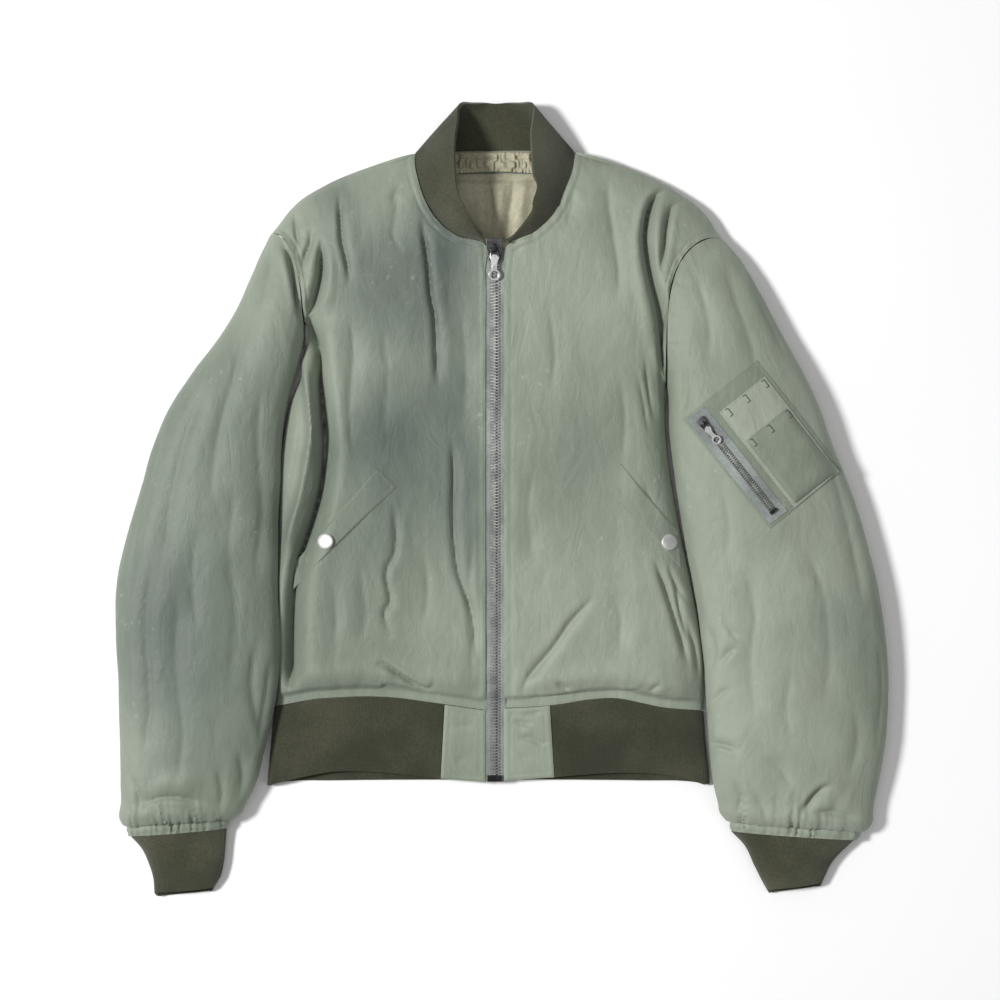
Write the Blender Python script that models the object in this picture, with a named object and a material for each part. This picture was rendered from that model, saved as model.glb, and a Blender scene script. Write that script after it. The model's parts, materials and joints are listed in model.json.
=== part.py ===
"""A padded nylon bomber jacket with rib-knit trim, zipped up and laid flat on its back.

+X is the wearer's left, +Y runs from hem to collar and +Z is up from the surface the jacket lies on.
The origin is on that surface, below the middle of the garment. Sizes here are in millimetres, and
every mesh is scaled to metres as it is made.
"""

import math

import bmesh
import bpy
import numpy as np
from mathutils import Matrix, Vector
from mathutils.bvhtree import BVHTree

MM = 0.001
FAR_BELOW = np.array((0.0, 0.0, -600.0))
SHELL = 3.0  # padded nylon shell
RIB = 3.5  # doubled rib knit
LINING = 1.5
SEAM = 0.6  # clearance between two pieces at a seam
ARMHOLE_SHIFT = (1.1, -0.9, 0.0)  # how far a left sleeve stands off the armhole, mirrored on the right
REST = 0.35  # clearance of a piece that lies on another
BEARING, POCKET_BEARING = 8.0, 3.0  # a laid piece clears the highest point this near

SHOULDER_Z = 17.0  # height of the shoulder seam at the armhole
NECK_Z = 14.0  # and where it meets the collar
SIDE_Z = 12.0  # height of the side seam
WAIST_EDGE_Z = 7.0  # and at the waistband
BACK_ROLL = 22.0  # how far the back takes to come down to the surface

ZIP_X = -5.5  # middle of the zip
FRONT_EDGE_RIGHT, FRONT_EDGE_LEFT = -14.5, 4.0  # edges of the fronts beside the zip
WIDEST = 0.42  # height of a sleeve's widest place, as a share of its height

# A sleeve's sections from armhole to wrist. outer and inner are its edges as seen from above, height
# is its thickness as it lies, and bow is how far the section curves towards the body.
SLEEVE_COLUMNS = "outer_x outer_y inner_x inner_y height bow"
SLEEVE_RIGHT = [
    (-228, 267, -195, 176, 41, 14),
    (-240, 242, -197, 159, 45, 11),
    (-254, 211, -201, 140, 49, 8),
    (-272, 176, -206, 120, 51, 5),
    (-294, 144, -213, 97, 53, 3),
    (-320, 108, -217, 66, 54, 1),
    (-343, 62, -219, 30, 54, 0),
    (-360, 5, -220, -12, 54, 0),
    (-373, -42, -220, -48, 53, 0),
    (-384, -95, -220, -96, 52, 0),
    (-384, -150, -219, -145, 51, 0),
    (-381, -205, -224, -195, 49, 0),
    (-380, -250, -233, -240, 46, 0),
    (-380, -290, -245, -283, 42, 0),
    (-379, -318, -259, -308, 36, 0),
    (-372, -336, -273, -328, 27, 0),
]
SLEEVE_LEFT = [
    (221, 262, 166, 114, 41, -32),
    (236, 246, 167, 98, 45, -24),
    (254, 218, 168, 70, 49, -16),
    (271, 187, 170, 42, 51, -9),
    (289, 152, 174, 13, 53, -5),
    (307, 116, 179, -22, 54, -2),
    (325, 70, 185, -56, 54, 0),
    (342, 30, 191, -86, 54, 0),
    (357, -12, 197, -120, 53, 0),
    (370, -60, 202, -160, 52, 0),
    (380, -108, 204, -200, 50, 0),
    (386, -165, 207, -240, 48, 0),
    (385, -222, 210, -272, 45, 0),
    (377, -280, 217, -302, 40, 0),
    (367, -325, 226, -320, 33, 0),
    (357, -340, 231, -331, 26, 0),
]
CUFF_RIGHT = [
    (-370, -337, -274, -329, 26, 0),
    (-359, -350, -275, -342, 23, 0),
    (-352, -366, -277, -362, 22, 0),
    (-348, -380, -281, -378, 20, 0),
    (-347, -394, -288, -389, 18, 0),
]
CUFF_LEFT = [
    (355, -341, 232, -332, 25, 0),
    (343, -352, 246, -347, 23, 0),
    (333, -364, 256, -368, 22, 0),
    (327, -376, 263, -382, 20, 0),
    (323, -384, 269, -391, 18, 0),
]
CUFF_SLANT = 4.0  # how far the cuff's under layer reaches past its upper layer at the mouth

# A front's sections from shoulder to waist: edge_x, edge_y is the neck or zip edge and edge_z its
# height, side_x, side_y the armhole or side seam and side_z its height, and crest the height between.
# Down to the armpit the side comes from the sleeve's first section instead.
FRONT_COLUMNS = "edge_x edge_y edge_z side_x side_y side_z crest"
NECK_ROWS = 7  # sections that end on the neck seam, and on the armhole
FRONT_RIGHT = [
    (-85, 347, NECK_Z, 0, 0, 0, 15.5),
    (-85, 334, 26, 0, 0, 0, 27),
    (-80, 313, 33, 0, 0, 0, 35),
    (-69, 287, 36, 0, 0, 0, 40),
    (-51, 268, 37, 0, 0, 0, 43),
    (-33, 259, 37, 0, 0, 0, 43),
    (-17, 256, 36, 0, 0, 0, 43),
    (FRONT_EDGE_RIGHT, 220, 36, -197, 130, SIDE_Z, 42),
    (FRONT_EDGE_RIGHT, 150, 36, -214, 86, SIDE_Z, 42),
    (FRONT_EDGE_RIGHT, 75, 36, -221, 30, SIDE_Z, 41),
    (FRONT_EDGE_RIGHT, -10, 35, -223, -40, SIDE_Z, 40),
    (FRONT_EDGE_RIGHT, -95, 34, -223, -105, SIDE_Z, 39),
    (FRONT_EDGE_RIGHT, -160, 31, -223, -160, SIDE_Z, 38),
    (FRONT_EDGE_RIGHT, -193, 25, -225, -190, 9, 33),
    (FRONT_EDGE_RIGHT, -210, 18, -227, -207, WAIST_EDGE_Z, 19),
]
FRONT_LEFT = [
    (74, 349, NECK_Z, 0, 0, 0, 15.5),
    (73, 331, 26, 0, 0, 0, 27),
    (65, 308, 33, 0, 0, 0, 35),
    (56, 287, 36, 0, 0, 0, 40),
    (42, 272, 37, 0, 0, 0, 43),
    (26, 261, 37, 0, 0, 0, 43),
    (8, 254, 36, 0, 0, 0, 43),
    (FRONT_EDGE_LEFT, 215, 36, 166, 80, SIDE_Z, 42),
    (FRONT_EDGE_LEFT, 150, 36, 169, 40, SIDE_Z, 42),
    (FRONT_EDGE_LEFT, 75, 36, 177, -10, SIDE_Z, 41),
    (FRONT_EDGE_LEFT, -10, 35, 187, -60, SIDE_Z, 40),
    (FRONT_EDGE_LEFT, -95, 34, 198, -112, SIDE_Z, 39),
    (FRONT_EDGE_LEFT, -160, 31, 204, -160, SIDE_Z, 38),
    (FRONT_EDGE_LEFT, -193, 25, 205, -192, 9, 33),
    (FRONT_EDGE_LEFT, -208, 18, 204, -211, WAIST_EDGE_Z, 19),
]
SHOULDER_RIGHT = [(-228, 267), (-197, 302), (-140, 330), (-85, 347)]
SHOULDER_LEFT = [(221, 262), (196, 295), (136, 329), (74, 349)]
WAIST_RIGHT = [(-227, -207), (-187, -199), (-144, -196), (-109, -197), (-78, -201), (-14.5, -210)]
WAIST_LEFT = [(204, -211), (166, -208), (118, -198), (81, -200), (50, -206), (4, -208)]
PLACKET_X_RIGHT, PLACKET_X_LEFT = -56.0, 50.5  # where the ribbed waistband ends

# The largest soft folds: a trough or ridge from one point to another, with its half width and rise.
FOLD_COLUMNS = "x0 y0 x1 y1 half_width rise"
FOLDS = [
    (-179, 236, -178, 100, 12, -11),
    (-178, 100, -190, -60, 13, -12),
    (-190, -60, -205, -190, 10, -6),
    (-78, 282, -66, 184, 13, -3),
    (-66, 184, -62, 111, 10, -2),
    (-160, 314, -152, 213, 12, -3),
    (-128, -169, -74, -188, 9, -3),
    (148, 276, 159, 178, 11, -5),
    (159, 178, 164, 70, 12, -8),
    (106, 320, 112, 170, 13, -2.5),
    (72, -195, 145, -184, 9, -4),
]

# The waistband's free edge, as x and y, from the side to the zip.
HEM_RIGHT = [(-236, -287), (-196, -277), (-166, -272), (-137, -272), (-104, -274), (-61, -279)]
HEM_RIGHT += [(-14, -283)]
HEM_LEFT = [(4, -281), (52, -278), (100, -274), (137, -273), (173, -276), (211, -285)]
HEM_BACK_Y, HEM_Z = -281.0, 14.0

# The collar's free edge beside each section of the neck seam, from the shoulder to the zip.
COLLAR_RIGHT = [
    (-38, 397, 26),
    (-45, 362, 50),
    (-45, 328, 60),
    (-42, 303, 58),
    (-33, 287, 54),
    (-26, 275, 48),
    (-17, 262, 40),
]
COLLAR_LEFT = [
    (31, 397, 26),
    (31, 362, 50),
    (33, 328, 60),
    (36, 312, 58),
    (31, 290, 54),
    (24, 277, 48),
    (8, 260, 40),
]
COLLAR_BACK = [(-38, 397, 26), (-22, 396.5, 6), (-4, 395, 0), (14, 396.5, 6), (31, 397, 26)]
COLLAR_BULGE = 4.0
COLLAR_FULL_Z = 80.0  # the bulge is full where the heights of both its edges add up to this
KNIT_STEPS = 4  # rows of points across the collar and the waistband
HEM_SPREAD = 1.03  # how much wider the waistband is at its free edge
PLACKET_SPREAD = 1.08  # and at the ends of its rib
HEM_BACK_DIP = 5.0  # how much lower its back hangs at the sides
PLACKET_CLEAR = 8.0  # no point of the waist seam lies this near the rib's end
HEM_PANEL = 4.5
PANEL_STEPS = 4

# The patch pocket on the left sleeve: its upper inner corner, and the ways along and across it.
POCKET_CORNER, POCKET_ALONG, POCKET_ACROSS = (181.0, 80.0), (0.62, -0.785), (0.785, 0.62)
POCKET_LENGTH, POCKET_WIDTH, POCKET_PLY = 138.0, 94.0, 1.8
POCKET_ZIP_ACROSS = 13.5  # middle of its zip
POCKET_PLY_STEPS = (9, 7)
# Its other pieces, as spans along and across it.
PEN_BACK_SPANS, PEN_FRONT_SPANS = ((17, 137), (32, 90)), ((55, 136), (33, 90))
POCKET_TAPE_SPAN, POCKET_TEETH_SPAN, POCKET_STOP_SPAN = (3, 135), (30, 124), (124.8, 128)
POCKET_TAPE_HALF, POCKET_TEETH_HALF, POCKET_STOP_HALF = 11.0, 3.0, 4.0
POCKET_SLIDER_AT = 16.0
PEN_PLY, POCKET_TEETH_PLY, POCKET_STOP_PLY = 1.4, 1.8, 2.0
PATCH_LIFT, PLY_LIFT, TEETH_LIFT, SLIDER_LIFT = 1.0, 0.6, 0.5, 1.2

# Corners of the slanted welts: upper inner, upper outer, lower inner, lower outer.
WELT_RIGHT = [(-121, 31), (-205, -62), (-103, 13), (-207, -89)]
WELT_LEFT = [(120, 36), (177, -31), (101, 16), (180, -67)]
WELT_PLY = 2.4
SNAP_RIGHT, SNAP_LEFT = (-173.4, -41.0), (168.3, -42.0)
SNAP_PROFILE = [(7.4, 0.0), (8.1, 0.5), (8.1, 1.1), (7.2, 2.0), (4.6, 2.7), (2.0, 3.0)]

# The main zip. Its tapes lie TAPE_DROP below the fronts' edges, and its teeth stop short of its foot.
ZIP_TOP_Y, ZIP_FOOT_Y, TEETH_TOP_Y = 252.0, -282.0, 232.0
TAPE_DROP, TAPE_PLY, TEETH_WIDE, TEETH_PLY = -1.2, 1.0, 9.0, 2.4
TEETH_FOOT, BOX_TOP, BOX_HALF, BOX_PROUD = 7.0, 6.4, 7.2, 0.4
PULL_THICK, PIVOT_RISE, SLIDER_DEEP = 1.4, 1.8, 5.0
MAIN_PIVOT_Y, MAIN_SCALE, MAIN_TILT = 250.0, 1.0, 4.5
SMALL_SCALE, SMALL_TILT = 0.62, 5.0  # the sleeve pocket's slider and pull against the main ones
SNAP_LIFT = 0.6

ARM_STEPS = 9  # steps of a sleeve's section over its top, and as many below
BODY_ROWS = 9  # rows of a front below the armpit
ROLL_SHARE = 0.3  # share of a front's width over which it rounds up
NECK_FROM = 6  # the back's column that starts its neck edge
SLEEVE_SECTIONS, CUFF_SECTIONS = 18, 5
SHOULDER_CURL = 0.2  # share of a shoulder seam over which the back curls up to it
BACK_FLAT_FROM = 0.3  # share of the back's width at which its even columns start

# Corners of the cloth inside the neck: the facing, then the lining below it.
FACING_CORNERS = [(-58, 349), (48, 349), (-60, 327), (50, 327)]
LINING_CORNERS = [(-60, 325.5), (50, 325.5), (-105, 150), (98, 150)]
FACING = 3.0
WELT_LIFT = 1.0


def spline(values, at):
    """A smooth curve through the rows of values, read at fractional row numbers."""
    values = np.asarray(values, float)
    ends = 2 * values[0] - values[1], 2 * values[-1] - values[-2]
    padded = np.concatenate([ends[0][None], values, ends[1][None]])
    row = np.clip(np.floor(at).astype(int), 0, len(values) - 2)
    t = (at - row).reshape((-1,) + (1,) * (values.ndim - 1))
    a, b, c, d = (padded[row + k] for k in range(4))
    return b + 0.5 * t * (c - a + t * (2 * a - 5 * b + 4 * c - d + t * (3 * (b - c) + d - a)))


def evenly(values, count):
    """That many points spread along the smooth curve through values."""
    return spline(values, np.linspace(0, len(values) - 1, count))


def lengths(points):
    """How far along each point is, as a share of the whole polyline."""
    steps = np.linalg.norm(np.diff(points, axis=0), axis=1)
    run = np.concatenate([[0], np.cumsum(steps)])
    return run / run[-1]


def unit(vectors):
    return vectors / np.linalg.norm(vectors, axis=-1, keepdims=True)


def material(name, colour, roughness, metallic=0.0):
    made = bpy.data.materials.new(name)
    made.use_nodes = True
    shader = made.node_tree.nodes["Principled BSDF"]
    shader.inputs["Base Color"].default_value = (*colour, 1)
    shader.inputs["Roughness"].default_value = roughness
    shader.inputs["Metallic"].default_value = metallic
    return made


def add_mesh(name, points, faces, finish):
    """An object of its own from points in millimetres, with its faces turned outwards."""
    mesh = bpy.data.meshes.new(name)
    mesh.from_pydata((np.asarray(points) * MM).tolist(), [], faces)
    shaped = bmesh.new()
    shaped.from_mesh(mesh)
    bmesh.ops.recalc_face_normals(shaped, faces=shaped.faces)
    shaped.to_mesh(mesh)
    shaped.free()
    mesh.shade_smooth()
    mesh.set_sharp_from_angle(angle=math.radians(40))
    mesh.materials.append(finish)
    made = bpy.data.objects.new(name, mesh)
    bpy.context.scene.collection.objects.link(made)
    return made


def strip(a, b):
    """Quads between two rows of point numbers."""
    return [(int(a[i]), int(a[i + 1]), int(b[i + 1]), int(b[i])) for i in range(len(a) - 1)]


def add_wall(name, outer, inner, finish, wrap=False):
    """A closed wall between two grids of points. wrap joins its last column to its first."""
    rows, columns, _ = outer.shape
    near = np.arange(rows * columns).reshape(rows, columns)
    if wrap:
        near = np.column_stack([near, near[:, 0]])
    far = near + rows * columns
    faces = strip(far[0], near[0]) + strip(near[-1], far[-1])
    for row in range(rows - 1):
        faces += strip(near[row], near[row + 1]) + strip(far[row + 1], far[row])
    if not wrap:
        faces += strip(near[:, 0], far[:, 0]) + strip(far[:, -1], near[:, -1])
    return add_mesh(name, np.concatenate([outer.reshape(-1, 3), inner.reshape(-1, 3)]), faces, finish)


def ways_out(grid, centre):
    """Unit normals of a grid of points, on the side away from centre."""
    across, down = np.gradient(grid, axis=1), np.gradient(grid, axis=0)
    normals = unit(np.cross(across, down))
    return normals if np.sum(normals * (grid - centre)) > 0 else -normals


def level(normals):
    """The same normals turned level, for the rim of a piece at a seam that another meets from below."""
    return unit(normals * (1, 1, 0))


def patch(top, bottom, start, end):
    """Plan points of a four-sided panel from its edges. Rows run down it and columns run across."""
    u = lengths(bottom)[None, :, None]
    v = ((lengths(start) + lengths(end)) / 2)[:, None, None]
    across = (1 - v) * top[None] + v * bottom[None]
    down = (1 - u) * start[:, None] + u * end[:, None]
    corners = (1 - v) * ((1 - u) * top[0] + u * top[-1]) + v * ((1 - u) * bottom[0] + u * bottom[-1])
    return across + down - corners


def fold_rise(plan):
    """Rise of the deepest fold at each plan point."""
    rise = np.zeros(plan.shape[:-1])
    for x0, y0, x1, y1, half_width, height in zip(*table(FOLD_COLUMNS, FOLDS).values()):
        start, run = np.array((x0, y0)), np.array((x1 - x0, y1 - y0))
        share = np.clip((plan - start) @ run / (run @ run), 0, 1)
        away = np.linalg.norm(plan - start - share[..., None] * run, axis=-1)
        here = height * np.exp(-((away / half_width) ** 2))
        rise = np.where(np.abs(here) > np.abs(rise), here, rise)
    return rise


def table(columns, rows):
    """A table's columns by name, each as an array."""
    return {name: np.array(values, float) for name, values in zip(columns.split(), zip(*rows))}


def ring_points(sections, angles):
    """Points round a sleeve's sections, and the way out at each.

    Angle 0 is the inner edge, a quarter turn the top, a half turn the outer edge. The underside is flat.
    """
    cut = {name: column[:, None] for name, column in sections.items()}
    run_x, run_y = cut["inner_x"] - cut["outer_x"], cut["inner_y"] - cut["outer_y"]
    width = np.hypot(run_x, run_y)
    reach, rise = np.cos(angles)[None], np.sin(angles)[None]
    share = (1 + reach) / 2
    bow = cut["bow"] * np.sin(np.pi * share**0.6)
    x = cut["outer_x"] + share * run_x - bow * run_y / width
    y = cut["outer_y"] + share * run_y + bow * run_x / width
    over = cut["height"] * (WIDEST + (1 - WIDEST) * rise)
    under = cut["height"] * WIDEST * np.maximum(0, 1 + 1.3 * rise)
    z = np.where(rise >= 0, over, under)
    slope = np.where(rise >= 0, 1 - WIDEST, np.where(z > 0, 1.3 * WIDEST, 0))
    climb = cut["height"] * slope * reach
    sideways, upwards = climb, width / 2 * rise
    flat = (z <= 0) * 1.0
    sideways, upwards = sideways * (1 - flat), upwards * (1 - flat) - flat
    out = np.stack([sideways * run_x / width, sideways * run_y / width, upwards], axis=-1)
    return np.stack([x, y, z], axis=-1), unit(out)


def resampled(columns, rows, at):
    """A table's columns, read at fractional row numbers."""
    return {name: spline(values, at) for name, values in table(columns, rows).items()}


def sleeve_grids(rows, sections, thickness, shift=(0, 0, 0), slant=0.0):
    """Outer and inner points of a tube that lies flat. slant lengthens its under layer at the end."""
    cut = resampled(SLEEVE_COLUMNS, rows, np.linspace(0, len(rows) - 1, sections))
    angles = np.arange(2 * ARM_STEPS) * math.pi / ARM_STEPS
    outer, out = ring_points(cut, angles)
    lean = np.linspace(0, 1, sections)[:, None] ** 3 * (outer[..., 2] < cut["height"][:, None] * WIDEST)
    outer = outer + np.asarray(shift)
    outer[..., 1] -= slant * lean
    return outer, outer - thickness * out


def armhole(sleeve, top):
    """The sleeve's first section over its top, or under it, from the shoulder to the armpit."""
    first = {name: values[:1] for name, values in table(SLEEVE_COLUMNS, sleeve).items()}
    angles = math.pi * (1 - np.arange(ARM_STEPS + 1) / ARM_STEPS)
    points, out = ring_points(first, angles if top else -angles)
    return points[0], out[0]


def front_columns():
    """A front's columns from side to edge: places, rise off the side and ease to the edge."""
    turn = np.radians(np.arange(0, 91, 18))
    flat = np.linspace(ROLL_SHARE, 1, 6)[1:]
    places = np.concatenate([ROLL_SHARE * (1 - np.cos(turn)), flat])
    lift = np.concatenate([np.sin(turn), np.ones(5)])
    share = np.clip((places - ROLL_SHARE) / (1 - ROLL_SHARE), 0, 1)
    return places, lift, share**2 * (3 - 2 * share)


def front_grids(rows, shoulder, waist, sleeve):
    """Outer and inner points of a front. Its first rows end on the armhole and the neck seam."""
    last = len(rows) - 1
    at_neck = np.linspace(0, NECK_ROWS - 1, ARM_STEPS + 1)
    at_zip = np.linspace(NECK_ROWS - 1, last, BODY_ROWS + 1)[1:]
    cut = resampled(FRONT_COLUMNS, rows, np.concatenate([at_neck, at_zip]))
    places, lift, ease = front_columns()
    arm, arm_out = armhole(sleeve, top=True)
    seam = [arm[-1]] + [row[3:6] for row in rows[NECK_ROWS:]]
    side = np.concatenate([arm, spline(seam, at_zip - NECK_ROWS + 1)])
    edge = np.stack([cut["edge_x"], cut["edge_y"]], axis=-1)
    top = spline(shoulder, places * (len(shoulder) - 1))
    waist_x = side[-1, 0] + places * (edge[-1, 0] - side[-1, 0])
    known = np.array(sorted(waist))
    bottom = np.stack([waist_x, np.interp(waist_x, known[:, 0], known[:, 1])], axis=-1)
    bottom[0], bottom[-1] = side[-1, :2], edge[-1]
    plan = patch(top, bottom, side[:, :2], edge)
    side_z, crest, edge_z = side[:, 2:], cut["crest"][:, None], cut["edge_z"][:, None]
    height = side_z + (crest - side_z) * lift + (edge_z - crest) * ease
    rise = fold_rise(plan)
    rise[:, [0, -1]] = 0
    rise[0] = 0
    outer = np.dstack([plan, height + rise])
    out = ways_out(outer, FAR_BELOW)
    out[: len(arm), 0] = arm_out
    out[len(arm) :, 0] = level(out[len(arm) :, 0])
    out[0, 1:] = level(out[0, 1:])
    outer[..., 2] += SEAM
    return outer, outer - SHELL * out


def back_grids(front_right, right_inner, front_left, left_inner):
    """Lower and upper points of the back, which rests on the surface and curls up to the side seams."""
    turn = np.radians([0, 30, 60, 90])
    roll = 1 - np.cos(turn)
    shoulder_at = np.concatenate([roll * SHOULDER_CURL, [0.45, 0.72, 1.0]])
    right_top = spline(SHOULDER_RIGHT, shoulder_at * (len(SHOULDER_RIGHT) - 1))
    left_top = spline(SHOULDER_LEFT, shoulder_at * (len(SHOULDER_LEFT) - 1))
    neck = evenly([right_top[-1], (-62, 350), (-4, 351), (52, 351), left_top[-1]], 7)[1:-1]
    top = np.concatenate([right_top, neck, left_top[::-1]])
    right, left = (
        np.concatenate([armhole(sleeve, top=False)[0], front[ARM_STEPS + 1 :, 0] - (0, 0, SEAM)])
        for sleeve, front in ((SLEEVE_RIGHT, front_right), (SLEEVE_LEFT, front_left))
    )
    span = left[-1, 0] - right[-1, 0]
    inwards = np.concatenate([roll * BACK_ROLL / span, [0.15, 0.22, BACK_FLAT_FROM]])
    even = np.linspace(BACK_FLAT_FROM, 1 - BACK_FLAT_FROM, 7)[1:-1]
    places = np.concatenate([inwards, even, 1 - inwards[::-1]])
    bottom = right[-1, :2] + places[:, None] * (left[-1, :2] - right[-1, :2])
    plan = patch(top, bottom, right[:, :2], left[:, :2])
    fall = np.concatenate([1 - np.sin(turn), np.zeros(len(places) - 2 * len(turn)), 1 - np.sin(turn)[::-1]])
    half = len(places) // 2
    from_side = np.where(np.arange(len(places)) <= half, right[:, 2:], left[:, 2:]) * fall
    corner = np.abs(np.linspace(-1, 1, len(places)))
    corner_z = np.interp(corner, (0.2, 1 / 3, 1), (0, NECK_Z, SHOULDER_Z))
    away = np.linalg.norm(plan - plan[:1], axis=-1) / BACK_ROLL
    from_top = corner_z * (1 - np.sqrt(1 - (1 - np.minimum(away, 1)) ** 2))
    outer = np.dstack([plan, np.maximum(from_side, from_top)])
    out = ways_out(outer, -FAR_BELOW)
    resting = outer[..., 2] <= 0
    out[resting] = (0, 0, -1)
    arm_rows = ARM_STEPS + 1
    out[:arm_rows, 0] = armhole(SLEEVE_RIGHT, top=False)[1]
    out[:arm_rows, -1] = armhole(SLEEVE_LEFT, top=False)[1]
    raised = ~resting[0]
    raised[[0, -1]] = False
    out[0, raised] = level(out[0, raised])
    inner = outer - SHELL * out
    inner[0, :, 1] = np.minimum(inner[0, :, 1], outer[0, :, 1])
    inner[arm_rows:, 0] = right_inner[arm_rows:, 0] - (0, 0, SEAM)
    inner[arm_rows:, -1] = left_inner[arm_rows:, 0] - (0, 0, SEAM)
    return outer, inner


def collar_grids(front_right, front_left, back):
    """The collar: a strip round the neck seam, leaning in over the neck in front and flat behind."""
    neck = ARM_STEPS + 1
    at = np.linspace(0, NECK_ROWS - 1, neck)
    behind = back[0, NECK_FROM + 1 : -NECK_FROM - 1]
    share = (np.arange(len(behind)) + 1) / (len(behind) + 1)
    base = np.concatenate([front_right[:neck, -1][::-1], behind, front_left[:neck, -1]])
    free = np.concatenate([
        spline(COLLAR_RIGHT, at)[::-1],
        spline(COLLAR_BACK, share * (len(COLLAR_BACK) - 1)),
        spline(COLLAR_LEFT, at),
    ])
    base = base + SEAM * unit(free - base) * (2, 2, 0)
    up = np.linspace(0, 1, KNIT_STEPS)[:, None, None]
    standing = np.clip((free[:, 2] + base[:, 2]) / COLLAR_FULL_Z, 0, 1)
    outer = base + up * (free - base)
    outer[..., 2] += COLLAR_BULGE * standing * np.sin(np.pi * up[..., 0])
    outer[..., 2] = np.maximum(outer[..., 2], 0)
    inner = outer - RIB * ways_out(outer, outer.mean(axis=(0, 1)))
    rim = slice(neck, neck + len(behind))
    inner[0, rim, 1] = np.maximum(inner[0, rim, 1], outer[0, rim, 1])
    return outer, inner


def waist_grids(front_right, front_left, back):
    """The ribbed waistband, from one hem panel round the back to the other."""
    base, free = [], []
    for front, hem, placket in (
        (front_right, HEM_RIGHT, PLACKET_X_RIGHT),
        (front_left, HEM_LEFT, PLACKET_X_LEFT),
    ):
        row = front[-1]
        by_x = np.array(sorted(map(tuple, row))).T
        end = np.array([np.interp(placket, by_x[0], by_x[k]) for k in range(3)])
        kept = np.abs(row[:, 0] - ZIP_X) > abs(placket - ZIP_X) + PLACKET_CLEAR
        seam = np.concatenate([row[kept], end[None]])
        known = np.array(sorted(hem))
        drop_x = ZIP_X + (seam[:, 0] - ZIP_X) * HEM_SPREAD
        drop_x[-1] = ZIP_X + (end[0] - ZIP_X) * PLACKET_SPREAD
        drop_y = np.interp(drop_x, known[:, 0], known[:, 1])
        drop_z = np.minimum(seam[:, 2], HEM_Z)
        base.append(seam)
        free.append(np.stack([drop_x, drop_y, drop_z], axis=-1))
    under = back[-1, 1:-1]
    below_x = ZIP_X + (under[:, 0] - ZIP_X) * HEM_SPREAD
    below = np.stack([below_x, np.full(len(under), HEM_BACK_Y), under[:, 2]], axis=-1)
    below[:, 1] -= HEM_BACK_DIP * np.abs(np.linspace(-1, 1, len(under))) ** 4
    base = np.concatenate([base[0][::-1], under, base[1]])
    free = np.concatenate([free[0][::-1], below, free[1]])
    base = base - (0, SEAM, 0)
    up = np.linspace(0, 1, KNIT_STEPS)[:, None, None]
    outer = base + up * (free - base)
    outer[..., 2] = np.maximum(outer[..., 2], 0)
    return outer, outer - RIB * ways_out(outer, outer.mean(axis=(0, 1)))


def hem_panel_grids(front, placket, edge, hem):
    """A nylon end panel of the waistband, between the rib and the zip."""
    known, row = np.array(sorted(hem)).T, np.array(sorted(map(tuple, front[-1]))).T
    toward = np.sign(edge - placket)
    x = np.linspace(placket + toward * SEAM, edge, PANEL_STEPS)
    seam = np.stack([x, np.interp(x, row[0], row[1]) - SEAM, np.interp(x, row[0], row[2])], axis=-1)
    low_x = np.linspace(ZIP_X + (placket - ZIP_X) * PLACKET_SPREAD + toward * SEAM, edge, PANEL_STEPS)
    low_z = np.full(PANEL_STEPS, HEM_Z + 1)
    low = np.stack([low_x, np.interp(low_x, known[0], known[1]), low_z], axis=-1)
    outer = seam + np.linspace(0, 1, PANEL_STEPS)[:, None, None] * (low - seam)
    return outer, outer - (0, 0, HEM_PANEL)


def surface(grid, wrap=False):
    """A grid of points as something that pieces can be laid on."""
    rows, columns, _ = grid.shape
    index = np.arange(rows * columns).reshape(rows, columns)
    if wrap:
        index = np.column_stack([index, index[:, 0]])
    faces = [face for row in range(rows - 1) for face in strip(index[row], index[row + 1])]
    return BVHTree.FromPolygons(grid.reshape(-1, 3).tolist(), faces)


def over(carrier, x, y):
    """The highest point of a carrier at a plan point, and its normal."""
    hit, normal, _, _ = carrier.ray_cast(Vector((x, y, 500)), Vector((0, 0, -1)))
    return hit, normal if normal is None or normal.z > 0 else -normal


def laid_grids(carrier, plan, thickness, lift=REST, bearing=BEARING):
    """A piece laid on a carrier: its plan points dropped on it, then moved out."""
    around = [(0, 0), (bearing, 0), (-bearing, 0), (0, bearing), (0, -bearing)]
    reached = [[[over(carrier, x + dx, y + dy)[0] for dx, dy in around] for x, y in row] for row in plan]
    height = [[max(hit.z for hit in hits if hit) for hits in row] for row in reached]
    under = np.dstack([plan, height]) + (0, 0, lift)
    return under + (0, 0, thickness), under


def quad_plan(corners, rows, columns):
    """Plan points spread over a four-cornered piece: top left, top right, bottom left, bottom right."""
    a, b, c, d = np.array(corners, float)
    u, v = np.linspace(0, 1, columns)[None, :, None], np.linspace(0, 1, rows)[:, None, None]
    return (1 - v) * ((1 - u) * a + u * b) + v * ((1 - u) * c + u * d)


def pocket_plan(along, across, rows, columns):
    """Plan points of a rectangle on the sleeve pocket, from its spans along and across the pocket."""
    a, b = np.linspace(*along, rows)[:, None, None], np.linspace(*across, columns)[None, :, None]
    return np.array(POCKET_CORNER) + a * np.array(POCKET_ALONG) + b * np.array(POCKET_ACROSS)


def zip_line(front, hem_panel):
    """Places down the fronts' edges beside the zip, from hem to neck, and their heights."""
    rows = np.concatenate([front[ARM_STEPS:, -1], hem_panel[[0, -1], -1]])
    return rows[np.argsort(rows[:, 1]), 1:]


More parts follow.
